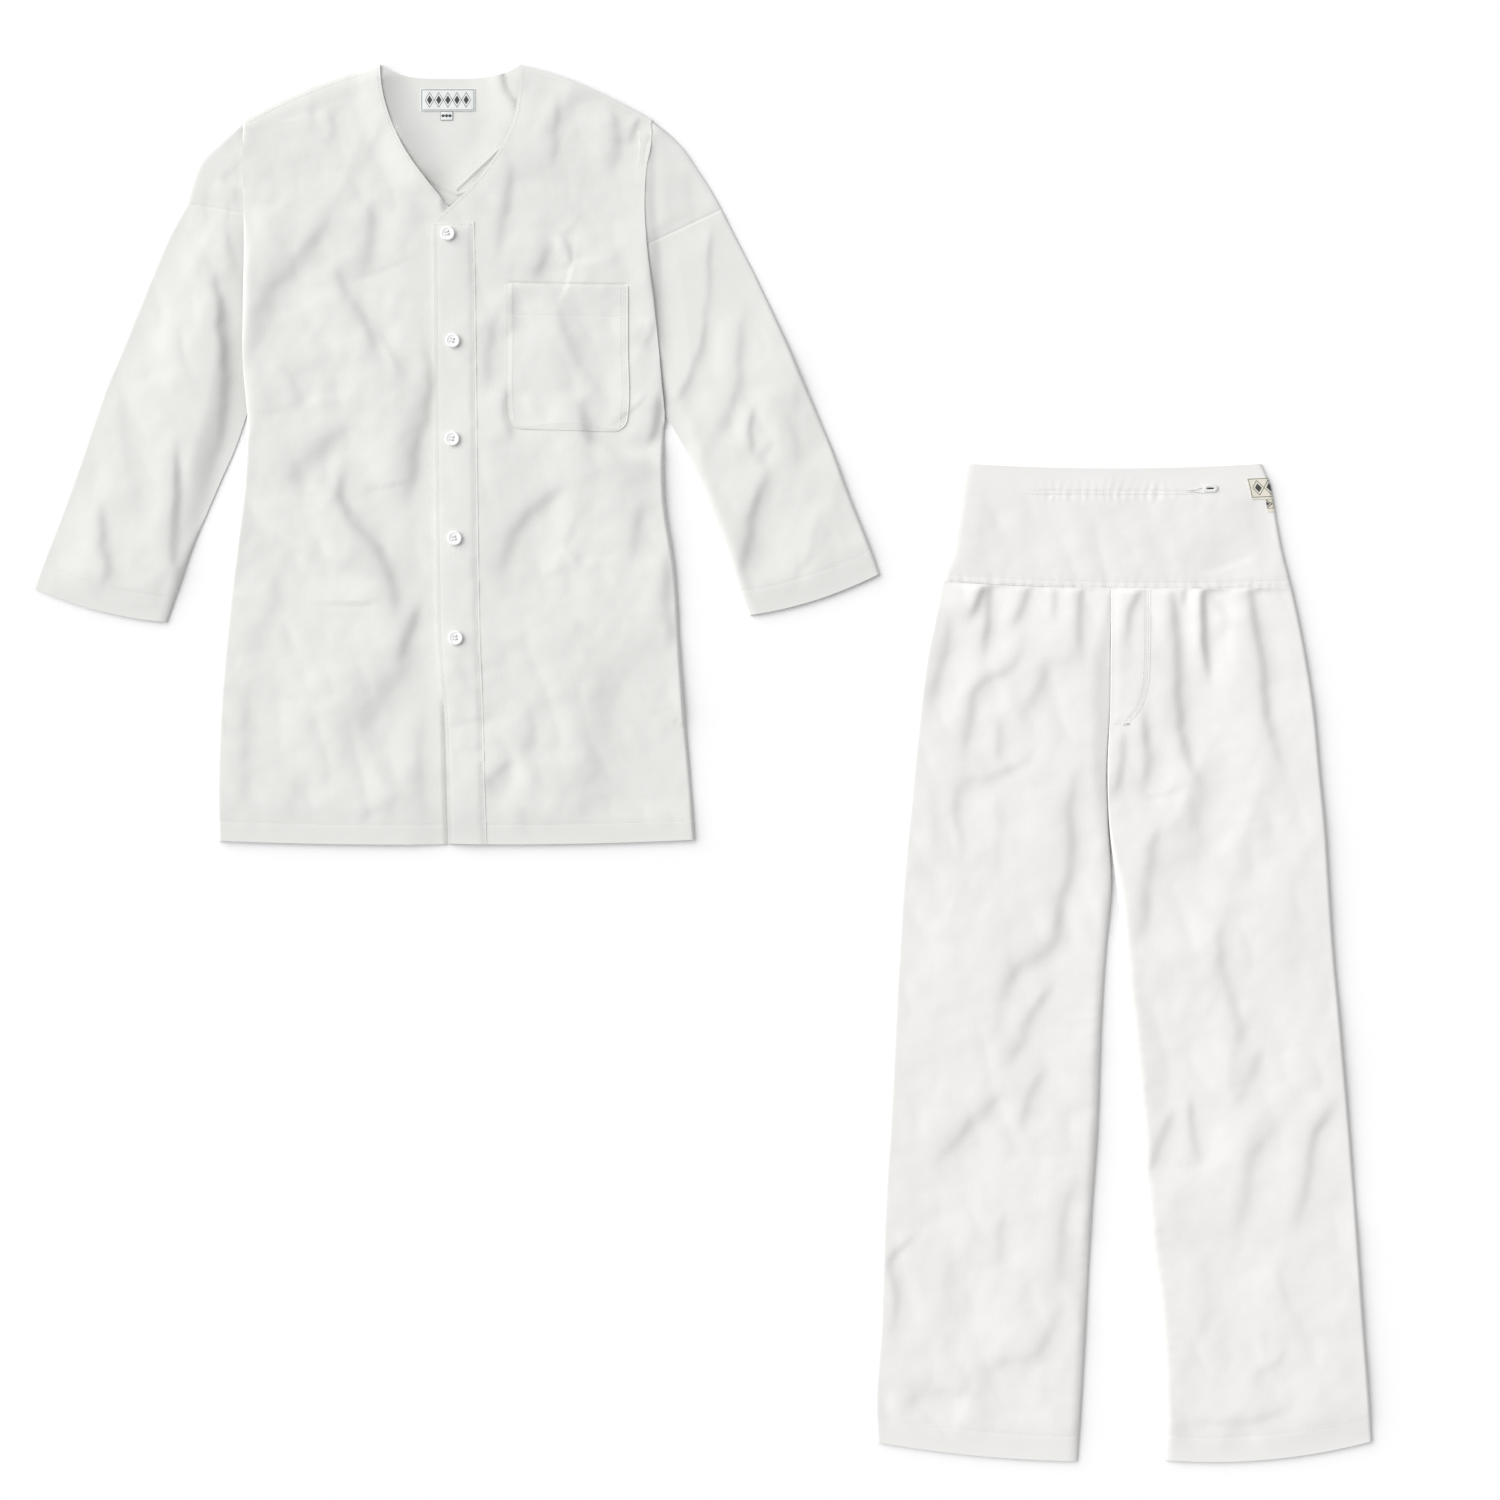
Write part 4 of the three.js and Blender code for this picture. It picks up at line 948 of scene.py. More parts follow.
sleeve_right = sleeve("right_sleeve", "sleeve_right", SLEEVE_RIGHT_ROWS, 2.2)
sleeve_left = sleeve("left_sleeve", "sleeve_left", SLEEVE_LEFT_ROWS, 0.6)


# The neck facings
# The strip of cotton that finishes the neck inside. Two stretches of it show below the V, the left one lying
# on the right one, both sewn behind the fronts' edges.

FACING_RIGHT_ROWS = [
    Row((404, 156), (406, 163)),
    Row((413, 165), (413, 172)),
    Row((424, 176), (424, 184)),
    Row((434.6, 184), (438, 198)),
    Row((447, 191), (449, 210)),
    Row((457.6, 193.4), (456.5, 207.6)),
    Row((465.6, 191), (469.6, 198.6)),
    Row((476, 182.4), (480, 188)),
]
FACING_LEFT_ROWS = [
    Row((500, 147.6), (505, 149)),
    Row((489.4, 157.8), (497, 163)),
    Row((478, 168.4), (487, 179)),
    Row((466.8, 179), (475, 193)),
    Row((455.8, 189.4), (463, 203)),
]
FACING_STITCH = 1.8


def neck_facing(name, node, rows, height):
    """A facing's free edge curls up a little. The strip falls from it to where it is sewn."""
    laid = lay_panel(rows, 1.8, 16)
    rolled_edge = 0.9 * np.exp(-((laid.first / 1.9) ** 2)) - 0.05 * laid.first
    bulge = 0.4 + rolled_edge + 0.12 * unevenness(laid.x, laid.y, 13, 71)
    clear = back_face(laid.x, laid.y) + 0.15 + CLOTH + bulge
    dent = seam_dent(laid.first - FACING_STITCH, 0.12, 0.7)
    points = on_table(laid.x, laid.y, np.maximum(clear, height + bulge) + dent)
    declare(shell(name, points, (laid.x, laid.y), cloth_white), points, node, rests_on=["back"])
    return laid, points


facing_right = neck_facing("facing_right", "neck_facing_right", FACING_RIGHT_ROWS, 2.1)
facing_left = neck_facing("facing_left", "neck_facing_left", FACING_LEFT_ROWS, 3.4)


# The neck label and its size tab
# A woven tape sewn inside the back of the neck, with a narrow dark border and a row of woven lozenges, and a
# small plain tab under it.

LABEL_TAPE = 0.5
NECK_LABEL = {"left": 420.3, "right": 474.8, "top": 88, "bottom": 110.4}
SIZE_TAB = {"left": 440, "right": 452.4, "top": 110.7, "bottom": 119.4}
TAPE_GROUND = (0.85, 0.878, 0.87, 1)
TAPE_DARK = (0.06, 0.065, 0.06, 1)
TAPE_CREAM = (0.80, 0.765, 0.655, 1)


def tape(name, width, length, border=0.0, lozenges=0, half_tall=7.4, ground_colour=TAPE_GROUND):
    """Fine woven label tape. A dark yarn draws its border and a row of lozenges."""
    BORDER_LINE, LINE, RIB = 0.3, 0.5, 0.34
    shader = Shader(name)
    cut, over, along = shader.cloth_places()
    ribs = abs((over * (math.pi / RIB)).sine()) * 0.5 + abs((along * (math.pi / (RIB * 1.4))).sine()) * 0.5
    fuzz = shader.noise(cut, 3, 2)
    # Random fuzz, and the ribs' hollows painted a little darker than their crests: painted shade in the
    # weave.
    woven = shader.blend(ribs * 0.3 + fuzz * 0.6, darker(ground_colour, 0.92), ground_colour)
    off_x, off_y = abs(over - width / 2), abs(along - length / 2)
    side, end = width / 2 - border, length / 2 - border
    drawn = (abs(off_x - side) < BORDER_LINE) * (off_y < end)
    drawn = drawn + (abs(off_y - end) < BORDER_LINE) * (off_x < side)
    if lozenges:
        span = width * 0.84 / lozenges
        from_first = over - width / 2 + span * lozenges / 2
        phase = shader.node("Math", {"operation": "PINGPONG"}, {0: from_first, 1: span / 2})
        slope = (span / 2 - phase) * (2 * half_tall / span)
        edge = abs(off_y - half_tall + slope) < LINE
        core = off_y < half_tall * 0.62 - slope
        drawn = drawn + (edge + core) * (off_x < span * lozenges / 2)
    mask = (drawn > 0.5) * 1.0
    return shader.surfaced({
        "Base Color": shader.blend(mask, woven, TAPE_DARK),
        "Roughness": 0.62 + fuzz * 0.1,
        "Normal": shader.bump(0.6, 0.0001, ribs + mask * 0.5),
        "Sheen Weight": 0.1,
        "Specular IOR Level": 0.35,
    })


def flat_label(name, place, material):
    """A tape label that lies on the back, its ends pulled down by the stitches."""
    width, length = place["right"] - place["left"], place["bottom"] - place["top"]
    rows = [Row((place["left"], y), (place["right"], y)) for y in (place["top"], place["bottom"])]
    laid = lay_panel(rows, 1.4, width)
    lift = 0.35 * smooth(np.minimum(laid.first, laid.second) / 5)
    points = on_table(laid.x, laid.y, back_face(laid.x, laid.y) + 0.1 + LABEL_TAPE + lift)
    return shell(name, points, (laid.first, laid.start), material, LABEL_TAPE), points


neck_tape = tape("neck_tape", 54.5, 22.4, border=1.1, lozenges=5)
tab_tape = tape("tab_tape", 12.4, 8.7, lozenges=3, half_tall=1.3)
neck_label, neck_points = flat_label("label_neck", NECK_LABEL, neck_tape)
size_tab, _ = flat_label("tab_size", SIZE_TAB, tab_tape)
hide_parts("size_tab")
declare(neck_label, neck_points, "neck_label", "label", rests_on=["back"], with_pieces=[size_tab])


# The waistband
# One wide band round the waist, with a cord casing stitched along it near the top. The casing is slightly
# gathered, and the whole band is folded flat at the edge that carries the label.

# Its darker white also paints shade into the weave's hollows, as in the shirt's cotton.
trouser_white = cotton("trouser_cotton", 0.66, (0.856, 0.845, 0.826, 1), (0.795, 0.785, 0.763, 1))

WAISTBAND_ROWS = [
    Row((1261.6, 463.6), (966.6, 463.6), bow=4.6),
    Row((1268, 478), (962.6, 479)),
    Row((1275, 509), (957, 510)),
    Row((1281.6, 545), (949.6, 550)),
    Row((1292, 586.5), (940.6, 581), bow=4.6),
]
BAND_FOLDS = [
    Fold(16, 0.9, [(972, 498), (1000, 530), (1040, 555), (1082, 568)]),
    Fold(16, 0.8, [(1232, 526), (1200, 545), (1170, 566)]),
    Fold(4, 0.9, [(1194, 576), (1226, 569), (1260, 559)]),
    Fold(4, 0.6, [(1206, 583), (1232, 577), (1262, 573)]),
    Fold(10, 0.9, [(984, 476), (980, 520), (974, 576)]),
    Fold(10, 0.9, [(1250, 476), (1251, 530), (1256, 580)]),
    Fold(5, 0.7, [(1112, 466), (1116, 480), (1113, 494)]),
]
BAND_LOFT = 4.9
BAND_PITCH = 2.4
CASING = {"top": 479.5, "bottom": 497.5, "left": 1030, "right": 1184, "rows": (490, 494.4)}
WAIST_TAPE_LIFT = 0.9


def band_face(x, y):
    """Height of the band's front, with the small gathers along its casing."""
    RIPPLE = 8.6
    in_casing = smooth((y - CASING["top"] + 5) / 7) * smooth((CASING["bottom"] + 6 - y) / 7)
    in_casing *= smooth((x - CASING["left"]) / 24) * smooth((CASING["right"] - x) / 24)
    wave = np.sin(2 * np.pi * x / RIPPLE + 2.6 * unevenness(x, y, 17, 81))
    gathers = 0.5 * wave * (0.65 + 0.6 * unevenness(x, y, 9, 82)) * in_casing
    return BAND_LOFT + gathers + folded(BAND_FOLDS, *wandering(x, y, 83)) + 0.9 * handled(x, y, 85)


above_casing, below_casing = (row.first[1] for row in WAISTBAND_ROWS[1:3])
near_casing_rows = 1 + (np.arange(486.6, 498.2, 0.9) - above_casing) / (below_casing - above_casing)
band_places = np.unique(np.concatenate([places_down(WAISTBAND_ROWS, BAND_PITCH), near_casing_rows]))
band_under = lay(WAISTBAND_ROWS, band_places, beneath(6, 330))
band_over = lay(WAISTBAND_ROWS, band_places, across(BAND_PITCH, 330))


def waist_puckers(x, y, from_seam):
    """The small gathers that the waist seam draws into the cloth on both of its sides."""
    wave = np.sin(x / 1.65 + 2.8 * unevenness(x, y, 23, 87)) * (0.6 + 0.5 * unevenness(x, y, 14, 88))
    return 0.3 * wave * np.exp(-((from_seam / 8) ** 2))


def label_lift(laid):
    beside_label = smooth((laid.place - 0.86) / 0.14) * smooth((2.16 - laid.place) / 0.14)
    return WAIST_TAPE_LIFT * beside_label * smooth((42 - laid.first) / 10)


WAIST_SEAM_HEIGHT = 5.9


def band_points(under, over):
    """The band's outer face, on a grid of places below and one above. The leg seam's two rows dent it."""
    dents = sum(seam_dent(over.y - row, 0.42, 1.2) for row in CASING["rows"])
    dents *= smooth((over.x - CASING["left"] + 10) / 20) * smooth((CASING["right"] + 20 - over.x) / 20)
    dents *= 0.7 + 0.5 * unevenness(over.x, over.y, 11, 84)
    dents = dents + seam_dent(over.last, 0.2, 1.4) + seam_dent(over.last - 7.4, 0.3, 1.3)
    face = sink(WAIST_SEAM_HEIGHT, 16, over.last, band_face(over.x, over.y))
    face = face + waist_puckers(over.x, over.y, over.last)
    reach = np.full(over.x.shape, 10.0)
    return tube(under, over, face, 1.7, reach, dents, over.start, 3.6, label_lift(under))


band_outer, band_cut = band_points(band_under, band_over)
waist = shell("waistband_cloth", band_outer, band_cut, trouser_white)
declare(waist, band_outer, "waistband")


# The waist label and its tab
# A woven tape label folded round the waistband's side edge and sewn down on both sides, and a narrow tab
# that hangs from it and leans outward.

def around_edge(rows, first_place, last_place, under_steps, over_steps):
    """Part of the band's own face: where each distance from its folded edge lies, and how far round it is."""
    places = np.unique(np.concatenate([band_places, [first_place, last_place]]))
    under = lay(rows, places, lambda width: np.array(under_steps, float))
    over = lay(rows, places, lambda width: np.array(over_steps, float))
    points, cut = band_points(under, over)
    kept = (places >= first_place - 1e-6) & (places <= last_place + 1e-6)
    return points[kept], (cut[0][kept], cut[1][kept])


def tape_on_band(name, points, cut, material):
    raised = points + (0.16 + LABEL_TAPE) * outward(points)
    return shell(name, raised, tuple(part - part.min() for part in cut), material, LABEL_TAPE), raised


LABEL_UNDER = (20, 17, 14, 11, 8.5, 6, 4.2, 3, 2.2, 1.4, 0.8, 0.35)
LABEL_OVER = (0, 0.5, 1.2, 2.2, 3.6, 5.4, 7.6, 10, 12, 14, 16, 18, 20, 21.5)
LABEL_PLACES = (1.0, 1.68)
waist_tape = tape("waist_tape", 41.5, 21, border=1.2, lozenges=3, ground_colour=TAPE_CREAM)
cream_tape = tape("cream_tape", 12, 9, lozenges=1, half_tall=3.4, ground_colour=TAPE_CREAM)
label_points, label_cut = around_edge(WAISTBAND_ROWS, *LABEL_PLACES, LABEL_UNDER, LABEL_OVER)
waist_label, raised_label = tape_on_band("label_waist", label_points, label_cut, waist_tape)

TAB_OVER = (0.6, 1.2, 2.2, 3.2, 4.2, 5.4, 6.4, 7.4)
tab_points, tab_cut = around_edge(WAISTBAND_ROWS, 1.69, 2.08, (3, 1), TAB_OVER)
tab_points, tab_cut = tab_points[:, 2:], (tab_cut[0][:, 2:], tab_cut[1][:, 2:])
waist_tab, _ = tape_on_band("tab_waist", tab_points, tab_cut, cream_tape)
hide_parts("waist_tab")
declare(
    waist_label, raised_label, "waist_label", "label", rests_on=["waistband_cloth"], with_pieces=[waist_tab],
)


# The eyelet
# An oval buttonhole worked in close satin stitches round the slot for the cord. In the slot lies a disc
# painted near black: painted shadow for the white casing's inside, which lies in deep shade.

EYELET = {"x": 1210.5, "y": 488.4, "length": 15, "width": 8, "slot": 7.4, "slit": 1.6}
THREAD_WHITE = (0.83, 0.835, 0.81, 1)


def sewing_thread(name):
    """Smooth twisted thread, a little brighter than the cloth."""
    shader = Shader(name)
    place = shader.node("TexCoord", output="Object")
    fuzz = shader.noise(place, 900, 2)
    return shader.surfaced({
        "Base Color": shader.blend(fuzz, darker(THREAD_WHITE, 0.93), THREAD_WHITE),
        "Roughness": 0.5,
        "Normal": shader.bump(0.4, 0.00005, fuzz),
        "Sheen Weight": 0.1,
    })


white_thread = sewing_thread("white_thread")


def oval(length, width, turn):
    """Points round an oval with straight sides, for turns from 0 to 1."""
    straight, radius = (length - width) / 2, width / 2
    angle = 2 * np.pi * turn
    return straight * np.tanh(2.5 * np.cos(angle)) + radius * np.cos(angle), radius * np.sin(angle)


def satin_ring():
    """A closed ring whose face is ribbed like close stitches."""
    STITCHES, STEPS = 46, 230
    turn = np.arange(STEPS) / STEPS
    outer = np.array(oval(EYELET["length"], EYELET["width"], turn))
    inner = np.array(oval(EYELET["slot"], EYELET["slit"], turn))
    rib = 0.1 * np.abs(np.sin(np.pi * STITCHES * turn))
    section = ((0, 0), (0.02, 0.55), (0.3, 0.95), (0.7, 0.95), (0.98, 0.55), (1, 0))
    base = band_face(EYELET["x"], EYELET["y"]) + 0.05
    rings = [
        np.stack([*mix(inner, outer, share), np.full(STEPS, base + rise) + rib * (rise > 0)], axis=-1)
        for share, rise in section
    ]
    flat = np.vstack(rings)
    faces = []
    for k in range(len(section)):
        a, b = k * STEPS, ((k + 1) % len(section)) * STEPS
        faces += [[a + i, a + (i + 1) % STEPS, b + (i + 1) % STEPS, b + i] for i in range(STEPS)]
    placed = on_table(EYELET["x"] + flat[:, 0], EYELET["y"] - flat[:, 1], flat[:, 2])
    return mesh_object("eyelet_ring", placed, faces[::-1], white_thread)


def casing_shade_paint(name):
    """Cotton in deep shade, with the little light that comes in between the stitches."""
    shader = Shader(name)
    place = shader.node("TexCoord", output="Object")
    fuzz = shader.noise(place, 1400, 3)
    # Painted shade: the casing's white cotton is given the near-black of the shade inside it.
    return shader.surfaced({
        "Base Color": shader.blend(fuzz, (0.012, 0.012, 0.011, 1), (0.09, 0.088, 0.08, 1)),
        "Roughness": 0.92,
        "Normal": shader.bump(0.5, 0.0002, fuzz),
        "Specular IOR Level": 0.05,
    })


def slot_shadow_disc():
    """A thin closed disc across the slot, under the ring's stitches, lower in its middle. Its colour is
    painted shadow.
    """
    STEPS, UNDERSIDE, TOP, HOLLOW = 40, 0.1, 0.34, 0.2
    turn = np.arange(STEPS) / STEPS
    edge = np.array(oval(EYELET["slot"] + 0.5, EYELET["slit"] + 0.5, turn))
    base = band_face(EYELET["x"], EYELET["y"])
    rings = [np.stack([*edge, np.full(STEPS, base + rise)], axis=-1) for rise in (UNDERSIDE, TOP)]
    middle = [(0, 0, base + UNDERSIDE), (0, 0, base + HOLLOW)]
    faces = [[i, (i + 1) % STEPS, STEPS + (i + 1) % STEPS, STEPS + i] for i in range(STEPS)]
    faces += [[(i + 1) % STEPS, i, 2 * STEPS] for i in range(STEPS)]
    faces += [[STEPS + i, STEPS + (i + 1) % STEPS, 2 * STEPS + 1] for i in range(STEPS)]
    flat = np.vstack([*rings, middle])
    placed = on_table(EYELET["x"] + flat[:, 0], EYELET["y"] - flat[:, 1], flat[:, 2])
    return mesh_object("eyelet_slot", placed, faces, casing_shade_paint("casing_shade_paint"))


eyelet = satin_ring()
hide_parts("eyelet")
slot_shadow_disc()


# The legs
# Each leg is one cloth folded flat at its outer edge, with unpressed tucks under the waistband. The legs meet
# at the centre seam, and each closes at its own inseam below.

LEG_RIGHT_ROWS = [
    Row((940.6, 581.1), (1111, 588.1), bow=1.4, foot=5.9, reach=5),
    Row((934, 614), (1111, 618), foot=5.6, reach=12),
    Row((926, 652), (1110.6, 654), foot=4.6, reach=20),
    Row((918.6, 706), (1110, 708), foot=4.1, reach=20),
    Row((912, 772), (1107.4, 774), foot=3.2, reach=18),
    Row((906.6, 828), (1109.2, 830), foot=2.6, reach=15),
    Row((902.6, 872), (1111.6, 882), foot=2.8, reach=12),
    Row((898, 940), (1106.6, 944)),
    Row((894, 1010), (1102, 1010)),
    Row((888.4, 1122), (1098, 1120)),
    Row((882.6, 1216), (1091.6, 1216)),
    Row((878.6, 1330), (1085.4, 1330)),
    Row((874.4, 1410), (1080.4, 1418)),
    Row((876.6, 1442.6), (1077.5, 1461.6), bow=4),
]
LEG_LEFT_ROWS = [
    Row((1292.2, 586.6), (1111.1, 588.1), bow=1, foot=5.9, reach=0.6),
    Row((1298.6, 616), (1111.1, 618), foot=5.9, reach=0.6),
    Row((1306, 654), (1110.7, 654), foot=6, reach=0.6),
    Row((1314.4, 708), (1110.1, 708), foot=6.2, reach=0.6),
    Row((1320.6, 772), (1107.5, 774), foot=6, reach=0.8),
    Row((1326, 828), (1109.8, 830), foot=5.6, reach=1.2),
    Row((1329.4, 880), (1116.4, 882), foot=3.4, reach=9),
    Row((1333.6, 944), (1122.6, 944)),
    Row((1339.6, 1010), (1129, 1010)),
    Row((1350, 1130), (1139.6, 1120)),
    Row((1356.6, 1216), (1147, 1216)),
    Row((1364.6, 1330), (1158.6, 1330)),
    Row((1370.6, 1410), (1162.8, 1410)),
    Row((1372.5, 1441.6), (1164.6, 1460.4), bow=9),
]
TROUSER_FOLDS = [
    Fold(4, 4, [(995, 550), (986, 582), (978, 602), (968, 626)]),
    Fold(5, 2.8, [(994, 550), (990, 590), (988, 630), (981, 672)]),
    Fold(5, 2.6, [(1036, 552), (1029, 586), (1022, 610), (1008, 634)]),
    Fold(8, 2.6, [
        (1025, 618), (1020, 655), (1005, 672), (985, 682), (972, 700), (968, 730), (966, 765), (968, 796),
    ]),
    Fold(4, 1.6, [(1057, 566), (1055, 596), (1055, 626)]),
    Fold(5, 2.4, [(1080, 554), (1080, 600), (1080, 635), (1085, 672)]),
    Fold(9, 2.2, [(1048, 650), (1038, 690), (1021, 724)]),
    Fold(6, 1.6, [(1002, 706), (997, 740), (995, 768)]),
    Fold(7, 2, [(1042, 732), (1025, 758), (1000, 770), (972, 780), (960, 800), (962, 850), (957, 892)]),
    Fold(10, 3.4, [
        (1101, 728), (1085, 765), (1075, 790), (1070, 830), (1070, 870), (1062, 900), (1055, 940),
        (1035, 960), (1010, 975), (1000, 1000), (992, 1030), (970, 1070),
    ]),
    Fold(8, 1.2, [(993, 780), (1000, 830), (995, 884)]),
    Fold(8, 2.6, [(951, 600), (948, 640), (938, 680), (921, 724)]),
    Fold(4, 2.2, [(1145, 562), (1139, 592), (1129, 615), (1127, 654)]),
    Fold(5, 2.2, [(1124, 722), (1124, 760), (1117, 804)]),
    Fold(6, 3.2, [(1144, 702), (1146, 740), (1146, 770), (1146, 806)]),
    Fold(8, 2.6, [(1166, 812), (1150, 850), (1148, 880), (1140, 920), (1126, 954)]),
    Fold(7, 4.5, [
        (1169, 540), (1175, 620), (1180, 690), (1184, 730), (1190, 760), (1203, 785), (1199, 826),
    ]),
    Fold(10, 2, [(1195, 790), (1195, 830), (1205, 860)]),
    Fold(3, 2, [(1184, 566), (1184, 588), (1184, 612)]),
    Fold(3.5, 4.6, [(1204, 536), (1204, 590), (1203, 640), (1208, 696)]),
    Fold(6, 2.6, [(1200, 578), (1216, 604), (1236, 628)]),
    Fold(6, 3.8, [(1244, 520), (1250, 590), (1256, 625), (1263, 660), (1268, 700), (1275, 745), (1284, 792)]),
    Fold(8, 2.5, [(1060, 976), (1035, 1015), (1020, 1045), (996, 1076)]),
    Fold(8, 2, [(1048, 1062), (1030, 1100), (1023, 1140)]),
    Fold(8, 2.6, [(1012, 1086), (975, 1120), (955, 1140), (926, 1172)]),
    Fold(8, 2, [(1078, 1168), (1065, 1210), (1060, 1250), (1054, 1304)]),
    Fold(9, 2.2, [(1066, 1300), (1040, 1345), (1010, 1360), (966, 1362)]),
    Fold(12, 3, [(985, 1398), (945, 1390), (915, 1395), (896, 1420)]),
    Fold(5, 1.5, [(924, 1218), (905, 1245), (893, 1262), (897, 1300), (888, 1350)]),
    Fold(6, 1.2, [(1006, 1208), (1003, 1240), (999, 1270)]),
    Fold(8, 2, [(1213, 902), (1222, 960), (1232, 1000), (1238, 1040), (1241, 1072)]),
    Fold(7, 2.2, [(1174, 1100), (1158, 1140), (1148, 1190)]),
    Fold(6, 2.2, [(1191, 1086), (1192, 1130), (1200, 1172)]),
    Fold(10, 2.6, [(1292, 1112), (1262, 1140), (1248, 1170), (1240, 1210), (1233, 1252)]),
    Fold(9, 3, [(1345, 1086), (1325, 1120), (1312, 1150), (1305, 1190), (1302, 1242)]),
    Fold(8, 1.5, [(1264, 1040), (1250, 1080), (1231, 1116)]),
    Fold(7, 1.2, [(1276, 1260), (1290, 1300), (1310, 1340)]),
    Fold(7, 1.8, [(1302, 1404), (1265, 1418), (1230, 1424), (1172, 1419)]),
    Fold(6, 1, [(1292, 1344), (1280, 1365), (1248, 1372)]),
    Fold(9, 1, [(1000, 900), (1010, 950), (1000, 990)]),
    Fold(10, 1, [(930, 760), (935, 830), (925, 900)]),
    Fold(12, 1, [(1290, 850), (1295, 930), (1285, 1010)]),
    Fold(10, 0.9, [(960, 1240), (950, 1290), (960, 1340)]),
    Fold(10, 0.9, [(1200, 1240), (1210, 1300), (1200, 1360)]),
]
TROUSER_LOFT = 6.6
TROUSER_HEM = 25
LEG_PITCH = 3


def inseam_puckers(laid):
    """Short creases that a seam draws into the cloth beside it."""
    reach = np.exp(-laid.second / 9) * smooth(laid.second / 2.5)
    wave = np.sin(laid.y / 2.6 + 3 * unevenness(laid.x, laid.y, 31, 93))
    return 0.28 * reach * wave * smooth((laid.y - 900) / 60)


def leg_face(x, y, from_waist):
    loose = mix(0.2, 1, smooth((from_waist - 20) / 140))
    creases = folded(TROUSER_FOLDS, *wandering(x, y, 91, loose)) + handled(x, y, 95)
    loft = mix(WAIST_SEAM_HEIGHT, TROUSER_LOFT, smooth(from_waist / 64))
    return settle(loft + creases * smooth((from_waist + 1) / 7), 2.6) + 0.5 * waist_puckers(x, y, from_waist)


def leg(name, node, rows):
    places = places_down(rows, LEG_PITCH, from_last=TROUSER_HEM)
    under, over = lay(rows, places, beneath(8, 208)), lay(rows, places, across(LEG_PITCH, 208))
    dents = seam_dent(over.last - TROUSER_HEM) + seam_dent(over.start, 0.07, 1.4)
    foot, reach = row_value(rows, "foot", over.place), row_value(rows, "reach", over.place)
    face = leg_face(over.x, over.y, over.start) + inseam_puckers(over)
    points, cut = tube(under, over, face, foot, reach, dents)
    thickness = np.hstack([np.full(under.x.shape, CLOTH), mix(0.3, CLOTH, smooth(over.second / 6))])
    declare(shell(name, points, cut, trouser_white, thickness), points, node)
    return over, points[:, -over.x.shape[1]:]


right_leg = leg("right_leg", "leg_right", LEG_RIGHT_ROWS)
left_leg = leg("left_leg", "leg_left", LEG_LEFT_ROWS)


# The fly
# A facing of the same cotton that laps the centre seam. It is stitched to the left leg along a curve that
# ends in a bar of close stitches.

FLY_ROWS = [
    Row((1112, 590), (1150.6, 590)),
    Row((1112, 620), (1150.4, 620)),
    Row((1112, 654), (1150, 654)),
    Row((1112, 684), (1148, 686)),
    Row((1112, 706), (1141, 708)),
    Row((1112.4, 724), (1128, 724)),
]
WAIST_SEAM_AT = 588
fly = lay(FLY_ROWS, places_down(FLY_ROWS, LEG_PITCH), across(2.6, 38))


def on_left_leg(x, y):
    """Height of the left leg's face near its centre seam."""
    rows = LEG_LEFT_ROWS[:7]
    near_seam = lay(rows, places_down(rows, LEG_PITCH), lambda width: width - np.arange(56, -1, -1.0))
    face = leg_face(x, y, y - WAIST_SEAM_AT)
    seam_x = np.interp(y, near_seam.y[:, -1], near_seam.x[:, -1])
    return roll(np.interp(y, (588, 618, 654), (5.9, 5.9, 6)), 0.6, x - seam_x, face)


fly_thickness = mix(0.15, 0.7, smooth(np.minimum(np.minimum(fly.second, fly.first), fly.last) / 9))
fly_z = on_left_leg(fly.x, fly.y) + 0.1 + fly_thickness + seam_dent(fly.second - 2.4, 0.12)
fly_points = on_table(fly.x, fly.y, fly_z)
fly_facing = shell("fly_facing", fly_points, (fly.x, fly.y), trouser_white, fly_thickness)
declare(fly_facing, fly_points, "fly", rests_on=["left_leg"])


# The buttons
# Five white shirt buttons with a raised rim, a dished face and four holes. Each is sewn on through its holes
# with white thread, so it stands a little above the placket.

BUTTON_PLACES = [(448, 234), (453, 341), (452.5, 439), (455, 538.5), (456, 638)]
BUTTON = {"hole": 0.8, "pitch": 1.5, "sides": 48, "thick": 2.02}
HOLES = [(x * BUTTON["pitch"], y * BUTTON["pitch"]) for x, y in ((-1, -1), (1, -1), (1, 1), (-1, 1))]
BUTTON_PROFILE = [
    (0, 0), (4.6, 0), (6.2, 0.3), (7.0, 1.0), (7.2, 1.6), (7.0, 2.2), (6.5, 2.5), (5.7, 2.52), (5.1, 2.3),
    (4.6, 2.08), (3.2, 2.0), (0, 2.0),
]


def button_plastic(name):
    """Polyester with the faint cloud of a pearl finish."""
    shader = Shader(name)
    place = shader.node("TexCoord", output="Object")
    cloud = shader.noise(place, 260, 3, Distortion=0.6)
    scratch = shader.noise(place, 2600, 2)
    return shader.surfaced({
        "Base Color": shader.blend(cloud, (0.94, 0.945, 0.94, 1), (0.98, 0.98, 0.97, 1)),
        "Roughness": 0.24 + scratch * 0.14,
        "Normal": shader.bump(0.15, 0.00005, scratch),
        "Specular IOR Level": 0.55,
        "Coat Weight": 0.25,
    })


def round_faces(rings, sides):
    """Faces of so many rings of vertices, closed to one vertex before the first and one after the last."""
    last = rings * sides + 1
    top = last - sides
    faces = []
    for i in range(sides):
        j = (i + 1) % sides
        faces.append([0, 1 + j, 1 + i])
        faces += [[a + i, a + j, a + sides + j, a + sides + i] for a in range(1, top, sides)]
        faces.append([top + i, top + j, last])
    return faces


